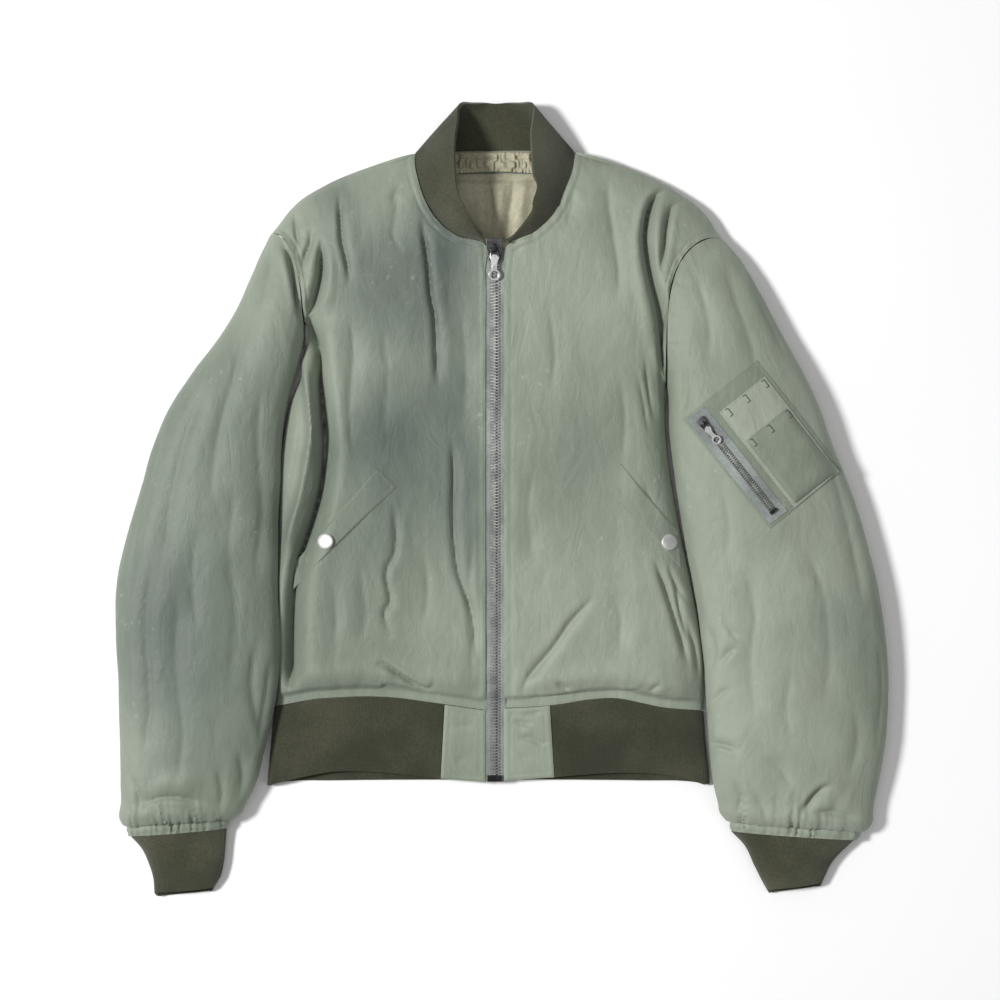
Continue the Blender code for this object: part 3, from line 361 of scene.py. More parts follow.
def ring_points(sections, angles):
    """Points round a sleeve's sections, and the way out at each.

    Angle 0 is the inner edge, a quarter turn the top, a half turn the outer edge. The underside is flat.
    """
    cut = {name: column[:, None] for name, column in sections.items()}
    run_x, run_y = cut["inner_x"] - cut["outer_x"], cut["inner_y"] - cut["outer_y"]
    width = np.hypot(run_x, run_y)
    reach, rise = np.cos(angles)[None], np.sin(angles)[None]
    share = (1 + reach) / 2
    bow = cut["bow"] * np.sin(np.pi * share**0.6)
    x = cut["outer_x"] + share * run_x - bow * run_y / width
    y = cut["outer_y"] + share * run_y + bow * run_x / width
    over = cut["height"] * (WIDEST + (1 - WIDEST) * rise)
    under = cut["height"] * WIDEST * np.maximum(0, 1 + 1.3 * rise)
    z = np.where(rise >= 0, over, under)
    slope = np.where(rise >= 0, 1 - WIDEST, np.where(z > 0, 1.3 * WIDEST, 0))
    climb = cut["height"] * slope * reach
    sideways, upwards = climb, width / 2 * rise
    flat = (z <= 0) * 1.0
    sideways, upwards = sideways * (1 - flat), upwards * (1 - flat) - flat
    out = np.stack([sideways * run_x / width, sideways * run_y / width, upwards], axis=-1)
    return np.stack([x, y, z], axis=-1), unit(out)


def resampled(columns, rows, at):
    """A table's columns, read at fractional row numbers."""
    return {name: spline(values, at) for name, values in table(columns, rows).items()}


def sleeve_grids(rows, sections, thickness, shift=(0, 0, 0), slant=0.0):
    """Outer and inner points of a tube that lies flat. slant lengthens its under layer at the end."""
    cut = resampled(SLEEVE_COLUMNS, rows, np.linspace(0, len(rows) - 1, sections))
    angles = np.arange(2 * ARM_STEPS) * math.pi / ARM_STEPS
    outer, out = ring_points(cut, angles)
    lean = np.linspace(0, 1, sections)[:, None] ** 3 * (outer[..., 2] < cut["height"][:, None] * WIDEST)
    outer = outer + np.asarray(shift)
    outer[..., 1] -= slant * lean
    return outer, outer - thickness * out


def armhole(sleeve, top):
    """The sleeve's first section over its top, or under it, from the shoulder to the armpit."""
    first = {name: values[:1] for name, values in table(SLEEVE_COLUMNS, sleeve).items()}
    angles = math.pi * (1 - np.arange(ARM_STEPS + 1) / ARM_STEPS)
    points, out = ring_points(first, angles if top else -angles)
    return points[0], out[0]


def front_columns():
    """A front's columns from side to edge: their places, rise off the side and ease to the edge."""
    turn = np.radians(np.arange(0, 91, 18))
    places = np.concatenate([ROLL_SHARE * (1 - np.cos(turn)), np.linspace(ROLL_SHARE, 1, 6)[1:]])
    lift = np.concatenate([np.sin(turn), np.ones(5)])
    share = np.clip((places - ROLL_SHARE) / (1 - ROLL_SHARE), 0, 1)
    return places, lift, share**2 * (3 - 2 * share)


def front_grids(rows, shoulder, waist, sleeve):
    """Outer and inner points of a front. Its first rows end on the armhole and the neck seam."""
    last = len(rows) - 1
    at_neck = np.linspace(0, NECK_ROWS - 1, ARM_STEPS + 1)
    at_zip = np.linspace(NECK_ROWS - 1, last, BODY_ROWS + 1)[1:]
    cut = resampled(FRONT_COLUMNS, rows, np.concatenate([at_neck, at_zip]))
    places, lift, ease = front_columns()
    arm, arm_out = armhole(sleeve, top=True)
    seam = [arm[-1]] + [row[3:6] for row in rows[NECK_ROWS:]]
    side = np.concatenate([arm, spline(seam, at_zip - NECK_ROWS + 1)])
    edge = np.stack([cut["edge_x"], cut["edge_y"]], axis=-1)
    top = spline(shoulder, places * (len(shoulder) - 1))
    waist_x = side[-1, 0] + places * (edge[-1, 0] - side[-1, 0])
    known = np.array(sorted(waist))
    bottom = np.stack([waist_x, np.interp(waist_x, known[:, 0], known[:, 1])], axis=-1)
    bottom[0], bottom[-1] = side[-1, :2], edge[-1]
    plan = patch(top, bottom, side[:, :2], edge)
    side_z, crest, edge_z = side[:, 2:], cut["crest"][:, None], cut["edge_z"][:, None]
    height = side_z + (crest - side_z) * lift + (edge_z - crest) * ease
    outer = np.dstack([plan, height])
    out = ways_out(outer, FAR_BELOW)
    out[: len(arm), 0] = arm_out
    out[len(arm) :, 0] = level(out[len(arm) :, 0])
    out[0, 1:] = level(out[0, 1:])
    outer[..., 2] += SEAM
    return outer, outer - SHELL * out


def back_grids(front_right, right_inner, front_left, left_inner):
    """Lower and upper points of the back, which rests on the surface and curls up to the side seams."""
    turn = np.radians([0, 30, 60, 90])
    roll = 1 - np.cos(turn)
    shoulder_at = np.concatenate([roll * 0.2, [0.45, 0.72, 1.0]])
    right_top = spline(SHOULDER_RIGHT, shoulder_at * (len(SHOULDER_RIGHT) - 1))
    left_top = spline(SHOULDER_LEFT, shoulder_at * (len(SHOULDER_LEFT) - 1))
    neck = evenly([right_top[-1], (-62, 350), (-4, 351), (52, 351), left_top[-1]], 7)[1:-1]
    top = np.concatenate([right_top, neck, left_top[::-1]])
    right, left = (
        np.concatenate([armhole(sleeve, top=False)[0], front[ARM_STEPS + 1 :, 0] - (0, 0, SEAM)])
        for sleeve, front in ((SLEEVE_RIGHT, front_right), (SLEEVE_LEFT, front_left))
    )
    span = left[-1, 0] - right[-1, 0]
    inwards = np.concatenate([roll * BACK_ROLL / span, [0.15, 0.22, 0.3]])
    places = np.concatenate([inwards, np.linspace(0.3, 0.7, 7)[1:-1], 1 - inwards[::-1]])
    bottom = right[-1, :2] + places[:, None] * (left[-1, :2] - right[-1, :2])
    plan = patch(top, bottom, right[:, :2], left[:, :2])
    fall = np.concatenate([1 - np.sin(turn), np.zeros(len(places) - 2 * len(turn)), 1 - np.sin(turn)[::-1]])
    half = len(places) // 2
    from_side = np.where(np.arange(len(places)) <= half, right[:, 2:], left[:, 2:]) * fall
    corner = np.abs(np.linspace(-1, 1, len(places)))
    corner_z = np.interp(corner, (0.2, 1 / 3, 1), (0, NECK_Z, SHOULDER_Z))
    away = np.linalg.norm(plan - plan[:1], axis=-1) / BACK_ROLL
    from_top = corner_z * (1 - np.sqrt(1 - (1 - np.minimum(away, 1)) ** 2))
    outer = np.dstack([plan, np.maximum(from_side, from_top)])
    out = ways_out(outer, -FAR_BELOW)
    resting = outer[..., 2] <= 0
    out[resting] = (0, 0, -1)
    arm_rows = ARM_STEPS + 1
    out[:arm_rows, 0] = armhole(SLEEVE_RIGHT, top=False)[1]
    out[:arm_rows, -1] = armhole(SLEEVE_LEFT, top=False)[1]
    raised = ~resting[0]
    raised[[0, -1]] = False
    out[0, raised] = level(out[0, raised])
    inner = outer - SHELL * out
    inner[0, :, 1] = np.minimum(inner[0, :, 1], outer[0, :, 1])
    inner[arm_rows:, 0] = right_inner[arm_rows:, 0] - (0, 0, SEAM)
    inner[arm_rows:, -1] = left_inner[arm_rows:, 0] - (0, 0, SEAM)
    return outer, inner


def collar_grids(front_right, front_left, back):
    """The collar: a strip round the neck seam, leaning in over the neck in front and flat behind."""
    neck = ARM_STEPS + 1
    at = np.linspace(0, NECK_ROWS - 1, neck)
    behind = back[0, NECK_FROM + 1 : -NECK_FROM - 1]
    share = (np.arange(len(behind)) + 1) / (len(behind) + 1)
    base = np.concatenate([front_right[:neck, -1][::-1], behind, front_left[:neck, -1]])
    free = np.concatenate([
        spline(COLLAR_RIGHT, at)[::-1],
        spline(COLLAR_BACK, share * (len(COLLAR_BACK) - 1)),
        spline(COLLAR_LEFT, at),
    ])
    base = base + SEAM * unit(free - base) * (2, 2, 0)
    up = np.linspace(0, 1, 4)[:, None, None]
    standing = np.clip((free[:, 2] + base[:, 2]) / 80, 0, 1)
    outer = base + up * (free - base)
    outer[..., 2] += COLLAR_BULGE * standing * np.sin(np.pi * up[..., 0])
    outer[..., 2] = np.maximum(outer[..., 2], 0)
    inner = outer - RIB * ways_out(outer, outer.mean(axis=(0, 1)))
    rim = slice(neck, neck + len(behind))
    inner[0, rim, 1] = np.maximum(inner[0, rim, 1], outer[0, rim, 1])
    return outer, inner


def waist_grids(front_right, front_left, back):
    """The ribbed waistband, from one hem panel round the back to the other."""
    base, free = [], []
    for front, hem, placket in ((front_right, HEM_RIGHT, PLACKET_X_RIGHT),
                                (front_left, HEM_LEFT, PLACKET_X_LEFT)):
        row = front[-1]
        end = np.array([np.interp(placket, *np.array(sorted(map(tuple, row))).T[[0, k]]) for k in range(3)])
        kept = np.abs(row[:, 0] - ZIP_X) > abs(placket - ZIP_X) + 8
        seam = np.concatenate([row[kept], end[None]])
        known = np.array(sorted(hem))
        drop_x = ZIP_X + (seam[:, 0] - ZIP_X) * HEM_SPREAD
        drop_x[-1] = ZIP_X + (end[0] - ZIP_X) * PLACKET_SPREAD
        drop_y = np.interp(drop_x, known[:, 0], known[:, 1])
        drop_z = np.minimum(seam[:, 2], HEM_Z)
        base.append(seam)
        free.append(np.stack([drop_x, drop_y, drop_z], axis=-1))
    under = back[-1, 1:-1]
    below = np.stack([ZIP_X + (under[:, 0] - ZIP_X) * HEM_SPREAD, np.full(len(under), HEM_BACK_Y),
                      under[:, 2]], axis=-1)
    below[:, 1] -= 5 * np.abs(np.linspace(-1, 1, len(under))) ** 4
    base = np.concatenate([base[0][::-1], under, base[1]])
    free = np.concatenate([free[0][::-1], below, free[1]])
    base = base - (0, SEAM, 0)
    up = np.linspace(0, 1, 4)[:, None, None]
    outer = base + up * (free - base)
    outer[..., 2] = np.maximum(outer[..., 2], 0)
    return outer, outer - RIB * ways_out(outer, outer.mean(axis=(0, 1)))


def hem_panel_grids(front, placket, edge, hem):
    """A nylon end panel of the waistband, between the rib and the zip."""
    known, row = np.array(sorted(hem)), np.array(sorted(map(tuple, front[-1])))
    toward = np.sign(edge - placket)
    x = np.linspace(placket + toward * SEAM, edge, 4)
    seam = np.stack([x, np.interp(x, row[:, 0], row[:, 1]) - SEAM, np.interp(x, row[:, 0], row[:, 2])],
                    axis=-1)
    low_x = np.linspace(ZIP_X + (placket - ZIP_X) * PLACKET_SPREAD + toward * SEAM, edge, 4)
    low = np.stack([low_x, np.interp(low_x, known[:, 0], known[:, 1]), np.full(4, HEM_Z + 1)], axis=-1)
    outer = seam + np.linspace(0, 1, 4)[:, None, None] * (low - seam)
    return outer, outer - (0, 0, HEM_PANEL)


def quad_plan(corners, rows, columns):
    """Plan points spread over a four-cornered piece: top left, top right, bottom left, bottom right."""
    a, b, c, d = np.array(corners, float)
    u, v = np.linspace(0, 1, columns)[None, :, None], np.linspace(0, 1, rows)[:, None, None]
    return (1 - v) * ((1 - u) * a + u * b) + v * ((1 - u) * c + u * d)


def pocket_plan(along, across, rows, columns):
    """Plan points of a rectangle on the sleeve pocket, from its spans along and across the pocket."""
    a, b = np.linspace(*along, rows)[:, None, None], np.linspace(*across, columns)[None, :, None]
    return np.array(POCKET_CORNER) + a * np.array(POCKET_ALONG) + b * np.array(POCKET_ACROSS)


def zip_line(front, hem_panel):
    """Places down the fronts' edges beside the zip, from hem to neck, and their heights."""
    rows = np.concatenate([front[ARM_STEPS:, -1], hem_panel[[0, -1], -1]])
    return rows[np.argsort(rows[:, 1]), 1:]


def stations(gaps, spacing):
    """Fractional row numbers that put points about that far apart, an even number of steps to each gap."""
    steps = 2 * np.maximum(1, np.round(gaps / spacing / 2)).astype(int)
    return np.concatenate([i + np.arange(n) / n for i, n in enumerate(steps)] + [[float(len(gaps))]])


def flowing(grid, at):
    """Rows of a grid read at fractional row numbers, smooth even where the rows are unevenly apart."""
    steps = np.diff(grid, axis=0)
    gaps = np.maximum(np.linalg.norm(steps, axis=-1, keepdims=True), 1e-6)
    slopes = steps / gaps
    inner = (slopes[:-1] * gaps[1:] + slopes[1:] * gaps[:-1]) / (gaps[:-1] + gaps[1:])
    slopes = np.concatenate([slopes[:1], inner, slopes[-1:]])
    row = np.clip(np.floor(at).astype(int), 0, len(grid) - 2)
    t = (at - row).reshape((-1,) + (1,) * (grid.ndim - 1))
    bend_in, bend_out = slopes[row] * gaps[row], slopes[row + 1] * gaps[row]
    eased = t**2 * (3 - 2 * t)
    return grid[row] + steps[row] * eased + bend_in * t * (1 - t) ** 2 - bend_out * t**2 * (1 - t)


def refined(grid, spacing, wrap=False):
    """The same surface on a fine grid, smooth through the coarse points."""
    ahead = np.linalg.norm(np.diff(grid, axis=0), axis=-1).max(axis=1)
    fine = flowing(grid, stations(ahead, spacing))
    turned = fine.transpose(1, 0, 2)
    if wrap:
        count = len(turned)
        turned = np.concatenate([turned[-2:], turned, turned[:3]])
        gaps = np.linalg.norm(np.diff(turned[2 : count + 3], axis=0), axis=-1).max(axis=1)
        return flowing(turned, 2 + stations(gaps, spacing)[:-1]).transpose(1, 0, 2)
    gaps = np.linalg.norm(np.diff(turned, axis=0), axis=-1).max(axis=1)
    return flowing(turned, stations(gaps, spacing)).transpose(1, 0, 2)


def grid_normals(grid, wrap=False, centre=FAR_BELOW):
    """Unit normals of a fine grid, on the side away from centre."""
    if wrap:
        ringed = np.concatenate([grid[:, -1:], grid, grid[:, :1]], axis=1)
        across = np.gradient(ringed, axis=1)[:, 1:-1]
    else:
        across = np.gradient(grid, axis=1)
    normals = np.cross(across, np.gradient(grid, axis=0))
    normals /= np.maximum(np.linalg.norm(normals, axis=-1, keepdims=True), 1e-9)
    return normals if np.sum(normals * (grid - centre)) > 0 else -normals


def hashed(ix, iy, seed):
    """A repeatable number from 0 to 1 for each whole-numbered lattice point."""
    mixed = ix.astype(np.int64) * HASH_X + iy.astype(np.int64) * HASH_Y + seed * HASH_SEED
    mixed &= 0x7FFFFFFF
    mixed = ((mixed ^ (mixed >> 13)) * 1274126177) & 0x7FFFFFFF
    return ((mixed ^ (mixed >> 16)) & 0xFFFF) / 65535.0


def noise(plan, size, seed, stretch=1.0, turn=0.0):
    """Smooth noise from -1 to 1 with lumps of that size, stretch times longer in the direction turn."""
    c, s = math.cos(math.radians(turn)), math.sin(math.radians(turn))
    x = (plan[..., 0] * c + plan[..., 1] * s) / (size * stretch)
    y = (plan[..., 1] * c - plan[..., 0] * s) / size
    ix, iy = np.floor(x), np.floor(y)
    fx, fy = x - ix, y - iy
    fx, fy = fx * fx * fx * (fx * (fx * 6 - 15) + 10), fy * fy * fy * (fy * (fy * 6 - 15) + 10)
    a, b = hashed(ix, iy, seed), hashed(ix + 1, iy, seed)
    d, e = hashed(ix, iy + 1, seed), hashed(ix + 1, iy + 1, seed)
    return 2 * ((a + (b - a) * fx) * (1 - fy) + (d + (e - d) * fx) * fy) - 1


def crinkle(plan, size, seed, stretch=1.0, turn=0.0):
    """Creased noise: rounded puffs with narrow valleys between them, from -1 to about 0.3."""
    bent = plan + np.stack([noise(plan, size * 1.7, seed + 5), noise(plan, size * 1.7, seed + 9)],
                           -1) * size * 0.6
    first = np.abs(noise(bent, size, seed, stretch, turn))
    second = np.abs(noise(bent, size * 0.55, seed + 3, stretch, turn))
    return 0.75 * (np.sqrt(first + 0.01) - 0.75) + 0.35 * (np.sqrt(second + 0.01) - 0.75)


def away(plan, line):
    """Each plan point's distance from a polyline, the side it is on and how far along it is."""
    line = np.asarray(line, float)[:, :2]
    best = np.full(plan.shape[:-1], 1e9)
    side, along = np.zeros_like(best), np.zeros_like(best)
    run = 0.0
    for start, end in zip(line[:-1], line[1:]):
        step = end - start
        length = np.hypot(*step)
        gone = plan - start
        share = np.clip((gone @ step) / max(length**2, 1e-9), 0, 1)
        gap = np.linalg.norm(gone - share[..., None] * step, axis=-1)
        nearer = gap < best
        best = np.where(nearer, gap, best)
        side = np.where(nearer, np.sign(step[0] * gone[..., 1] - step[1] * gone[..., 0]), side)
        along = np.where(nearer, run + share * length, along)
        run += length
    return best, side, along / max(run, 1e-9), run


def smooth(value, low, high):
    """An eased step from 0 at low to 1 at high."""
    share = np.clip((value - low) / (high - low), 0, 1)
    return share * share * (3 - 2 * share)


def puckers(plan, seam, spacing, reach, depth, seed):
    """Short creases that run off a seam, each with its own place, length, lean and depth."""
    gap, _, share, run = away(plan, seam)
    along = share * run
    draw = np.random.default_rng(seed)
    rise = np.zeros(plan.shape[:-1])
    near = gap < reach * 1.9
    gap, along = gap[near], along[near]
    total = np.zeros_like(gap)
    place = draw.uniform(0, spacing)
    while place < run:
        far, wide = reach * draw.uniform(0.35, 1.5), spacing * draw.uniform(0.16, 0.4)
        deep, slope = depth * draw.uniform(0.25, 1.25) * draw.choice([-1, -1, 1]), draw.uniform(-0.5, 0.5)
        across = along - place - slope * gap
        total += deep * np.exp(-((across / (wide * (1 + gap / far))) ** 2)) * np.exp(-((gap / far) ** 2))
        place += spacing * draw.uniform(0.5, 1.5)
    rise[near] = total * (smooth(share, 0.0, 0.03) * (1 - smooth(share, 0.97, 1.0)))[near]
    return rise


def seam_margin(plan, seam, width, rise):
    """The allowance beside a seam, flattened by topstitching: proud of the cloth, then a small groove."""
    gap, _, share, _ = away(plan, seam)
    rise = rise * smooth(share, 0.0, 0.02) * (1 - smooth(share, 0.98, 1.0))
    tight = -rise * 1.1 * np.exp(-(((gap - width) / 1.5) ** 2))
    proud = rise * smooth(gap, -0.5, 2.0) * (1 - smooth(gap, width - 1.6, width))
    tuck = -rise * 1.4 * np.exp(-((gap / 1.6) ** 2))
    return tight + proud + tuck


def new_object(name, points, faces, finish, body="root"):
    """A piece from points in millimetres, riding on a body."""
    mesh = bpy.data.meshes.new(name)
    mesh.from_pydata((np.asarray(points) * MM).tolist(), [], faces)
    mesh.validate()
    mesh.shade_smooth()
    mesh.materials.append(finish)
    made = bpy.data.objects.new(name, mesh)
    bpy.context.scene.collection.objects.link(made)
    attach(made, body)
    return made


def rim(near, far):
    """Faces between the two edges of a wall. The far one has as many points, or every second one."""
    if len(near) == len(far):
        return strip(near, far)
    faces = []
    for j in range(len(far) - 1):
        a, b, c = (int(n) for n in near[2 * j : 2 * j + 3])
        faces += [(a, b, int(far[j])), (b, int(far[j + 1]), int(far[j])), (b, c, int(far[j + 1]))]
    return faces


def add_shell(name, outer, thickness, finish, wrap=False, centre=FAR_BELOW, inner=None):
    """A closed thin shell: a fine outer face and an inner face with every second point."""
    out = grid_normals(outer, wrap, centre)
    if inner is None:
        inner = (outer - thickness * out)[::2, ::2]
    rows, columns, _ = outer.shape
    near = np.arange(rows * columns).reshape(rows, columns)
    far = rows * columns + np.arange(inner.shape[0] * inner.shape[1]).reshape(inner.shape[:2])
    if wrap:
        near, far = np.column_stack([near, near[:, 0]]), np.column_stack([far, far[:, 0]])
    faces = []
    for row in range(len(near) - 1):
        faces += strip(near[row], near[row + 1])
    for row in range(len(far) - 1):
        faces += strip(far[row + 1], far[row])
    faces += rim(near[0][::-1], far[0][::-1]) + rim(near[-1], far[-1])
    if not wrap:
        faces += rim(near[:, 0], far[:, 0]) + rim(near[::-1, -1], far[::-1, -1])
    made = new_object(name, np.concatenate([outer.reshape(-1, 3), inner.reshape(-1, 3)]), faces, finish)
    shaped = bmesh.new()
    shaped.from_mesh(made.data)
    bmesh.ops.recalc_face_normals(shaped, faces=shaped.faces)
    shaped.to_mesh(made.data)
    shaped.free()
    made.data.shade_smooth()
    made.data.set_sharp_from_angle(angle=math.radians(55))
    return made


def surface(grid, wrap=False):
    """A grid of points as something that pieces can be laid on."""
    rows, columns, _ = grid.shape
    index = np.arange(rows * columns).reshape(rows, columns)
    if wrap:
        index = np.column_stack([index, index[:, 0]])
    faces = [face for row in range(rows - 1) for face in strip(index[row], index[row + 1])]
    return BVHTree.FromPolygons(grid.reshape(-1, 3).tolist(), faces)


def over(carrier, x, y, fallback=0.0):
    """The height of a carrier at a plan point."""
    hit = carrier.ray_cast(Vector((x, y, RAY_HEIGHT)), Vector((0, 0, -1)))[0]
    return fallback if hit is None else hit.z


def blurred(values, passes):
    """Values of a grid, evened out between neighbours."""
    for _ in range(passes):
        padded = np.pad(values, 1, mode="edge")
        beside = padded[:-2, 1:-1] + padded[2:, 1:-1] + padded[1:-1, :-2] + padded[1:-1, 2:]
        values = (beside + 2 * values) / 6
    return values


def dropped(carrier, plan, passes=2):
    """Heights of a carrier under a grid of plan points, evened out a little."""
    heights = np.array([[over(carrier, x, y, -1.0) for x, y in row] for row in plan])
    known = heights[heights > 0]
    heights[heights < 0] = known.min() if len(known) else 0
    return blurred(heights, passes)


# Folds, listed one by one. Each is a line of plan points, its half width at both ends, its rise and its lean.
FOLDS_FRONT_RIGHT = [
    ([(-177, 264), (-178, 246), (-179, 225), (-183, 205), (-190, 185), (-198, 168)], 3.5, 7, -12, 0.1),
    ([(-196, 186), (-191, 170), (-186, 150), (-181, 115), (-178, 85), (-175.5, 55), (-178.5, 20),
      (-184, -5), (-192, -30), (-203, -60), (-208.5, -85), (-211, -110), (-212, -140), (-212, -165),
      (-211, -196)], 6.5, 9, -19, 0.4),
    ([(-200, 168), (-196, 145), (-191, 115), (-188, 90), (-187, 68), (-192, 35), (-198, 5), (-207, -26),
      (-216, -60)], 4.5, 4.5, 9, 0.0),
    ([(-160, 313), (-160, 297), (-158.5, 268), (-157, 255), (-153, 239), (-150, 220), (-154, 206)], 3.5, 4,
      -4.2, 0.3),
    ([(-78, 288), (-76, 265), (-72.4, 239), (-69, 202), (-65, 180), (-62, 108)], 4, 5, -3.8, 0.3),
    ([(-204, 292), (-203.6, 268), (-198.5, 250)], 3.5, 3, -3.0, 0.2),
    ([(-188, 273), (-189, 256), (-193, 245), (-197, 228)], 4, 3.5, -3.6, 0.2),
    ([(-48, 66), (-46, 24), (-47, -15), (-43, -65), (-32.5, -99), (-27, -119), (-24, -165)], 4.5, 5, -3.2,
      0.3),
    ([(-106, 4), (-104, -47), (-113, -72), (-109, -101), (-115, -113), (-108, -140)], 4, 4, -2.4, 0.2),
    ([(-128, -171), (-117, -163), (-102, -172), (-84, -184), (-70, -188), (-64, -174)], 3.5, 3, -4.6, -0.3),
    ([(-190, -192), (-145, -193), (-120, -190), (-113, -185.5), (-91, -189), (-74, -192)], 2.5, 2.5, -3.0,
      -0.2),
    ([(-100, 313), (-103, 290), (-106, 262), (-96, 240)], 10, 9, -1.8, 0.0),
    ([(-92, 315), (-103, 308), (-108, 290)], 4, 5, -1.5, 0.0),
    ([(-151, 190), (-146, 150), (-150, 96), (-146, 40)], 7, 8, -1.5, 0.2),
    ([(-166, -76), (-163, -120), (-167, -152)], 7, 7, -1.5, 0.0),
    ([(-40, 200), (-34, 130), (-38, 60)], 9, 11, -1.2, 0.0),
    ([(-118, 180), (-112, 120), (-118, 60)], 10, 12, -1.3, 0.0),
    ([(-27, -30), (-31, -110), (-26, -190)], 4, 5, -1.3, 0.0),
    ([(-140, -60), (-134, -110), (-140, -150)], 8, 9, -1.4, 0.1),
    ([(-78, -40), (-72, -90), (-80, -140)], 8, 9, -1.3, 0.0),
]
FOLDS_FRONT_LEFT = [
    ([(168, 313), (154.5, 302), (148, 287), (145, 270), (144.5, 257), (147, 237), (151, 217), (157, 194),
      (161, 174), (163, 158), (165, 141), (167, 112)], 3.5, 9, -12, 0.15),
    ([(186, 300), (174, 294), (168.6, 285), (165.3, 270), (163.6, 254), (161.5, 237), (160.3, 220)], 3.5,
      3.5, -6, 0.0),
    ([(153, 170), (156, 130), (160, 90), (161, 62)], 4, 4, 2.4, 0.0),
    ([(143, 150), (148, 110), (154, 74)], 3, 3, -2.0, 0.0),
    ([(136, 130), (143, 96), (148, 60)], 3.5, 3, -1.6, 0.0),
    ([(110, 330), (108, 300), (113, 262), (118, 225), (116, 190)], 9, 10, -2.2, 0.0),
    ([(75, 318), (70, 286), (62, 262)], 7, 8, -1.5, 0.0),
    ([(46, 206), (54, 150), (50, 96)], 8, 9, -1.5, 0.1),
    ([(118, 130), (124, 80), (120, 30)], 9, 10, -1.5, 0.0),
    ([(140, 30), (152, -10), (160, -50)], 6, 7, -1.6, 0.0),
    ([(152, -54), (166, -92), (178, -130), (190, -170)], 4, 5, -4.6, 0.2),
    ([(172, -74), (180, -112), (190, -146)], 3, 4, -3.4, 0.2),
    ([(184, -112), (194, -146), (200, -184)], 3, 3, -3.0, 0.0),
    ([(166, -60), (175, -84), (188, -104)], 3, 3, -2.4, 0.0),
    ([(97, -92), (71, -121), (53, -147), (26, -181), (24, -204)], 4.5, 5, -3.0, 0.2),
    ([(18, -199), (50, -197.5), (72, -195.6), (108, -193), (133, -191.6), (147, -182)], 2.5, 3, -5.5, -0.3),
    ([(54, -180), (63, -186), (72, -190)], 3, 3, -3.0, 0.0),
    ([(147, -193), (153, -188), (162, -182)], 3, 3, -2.4, 0.0),
    ([(112, -90), (120, -120), (116, -160)], 8, 9, -1.5, 0.0),
    ([(34, 40), (28, -10), (34, -70)], 8, 9, -1.2, 0.0),
]
FOLDS_SLEEVE_RIGHT = [
    ([(-218, 264), (-208, 236), (-202, 209), (-197, 172)], 3.5, 4.5, -8, 0.2),
    ([(-228, 262), (-229, 240), (-233, 212), (-238, 180)], 5, 7, -2.0, 0.0),
    ([(-250, 190), (-262, 130), (-280, 60), (-288, -10)], 12, 15, -1.8, 0.1),
    ([(-290, 120), (-312, 60), (-326, 0), (-335, -70)], 10, 12, -1.9, -0.1),
    ([(-334, 76), (-350, 20), (-362, -40), (-370, -100)], 5, 6, -1.6, 0.0),
    ([(-236, 120), (-240, 60), (-236, -10), (-243, -80)], 9, 11, -1.7, 0.0),
    ([(-262, 20), (-268, -50), (-262, -120), (-270, -190)], 12, 13, -1.7, 0.0),
    ([(-345, -60), (-352, -130), (-348, -200), (-356, -260)], 8, 9, -1.8, 0.0),
    ([(-318, -90), (-322, -160), (-315, -230), (-322, -290)], 12, 10, -1.6, 0.0),
    ([(-370, -95), (-376, -160), (-372, -230), (-374, -300)], 4, 5, -1.5, 0.0),
    ([(-240, -130), (-246, -180), (-240, -235)], 5, 6, -2.2, 0.1),
    ([(-228, -150), (-234, -200), (-241, -248)], 4, 4, -2.0, 0.0),
    ([(-262, -240), (-256, -275), (-262, -305)], 6, 5, -2.4, 0.0),
    ([(-364, -307), (-346, -299), (-324, -296), (-303, -299), (-285, -304)], 4, 4, -3.0, 0.4),
    ([(-350, -286), (-325, -280), (-297, -286)], 8, 8, 1.6, 0.0),
    ([(-372, -270), (-362, -290), (-356, -312)], 5, 4, -2.0, 0.0),
    ([(-282, -262), (-276, -290), (-282, -316)], 4, 4, -2.0, 0.0),
    ([(-300, -20), (-305, -80), (-298, -140)], 10, 11, -1.3, 0.0),
]
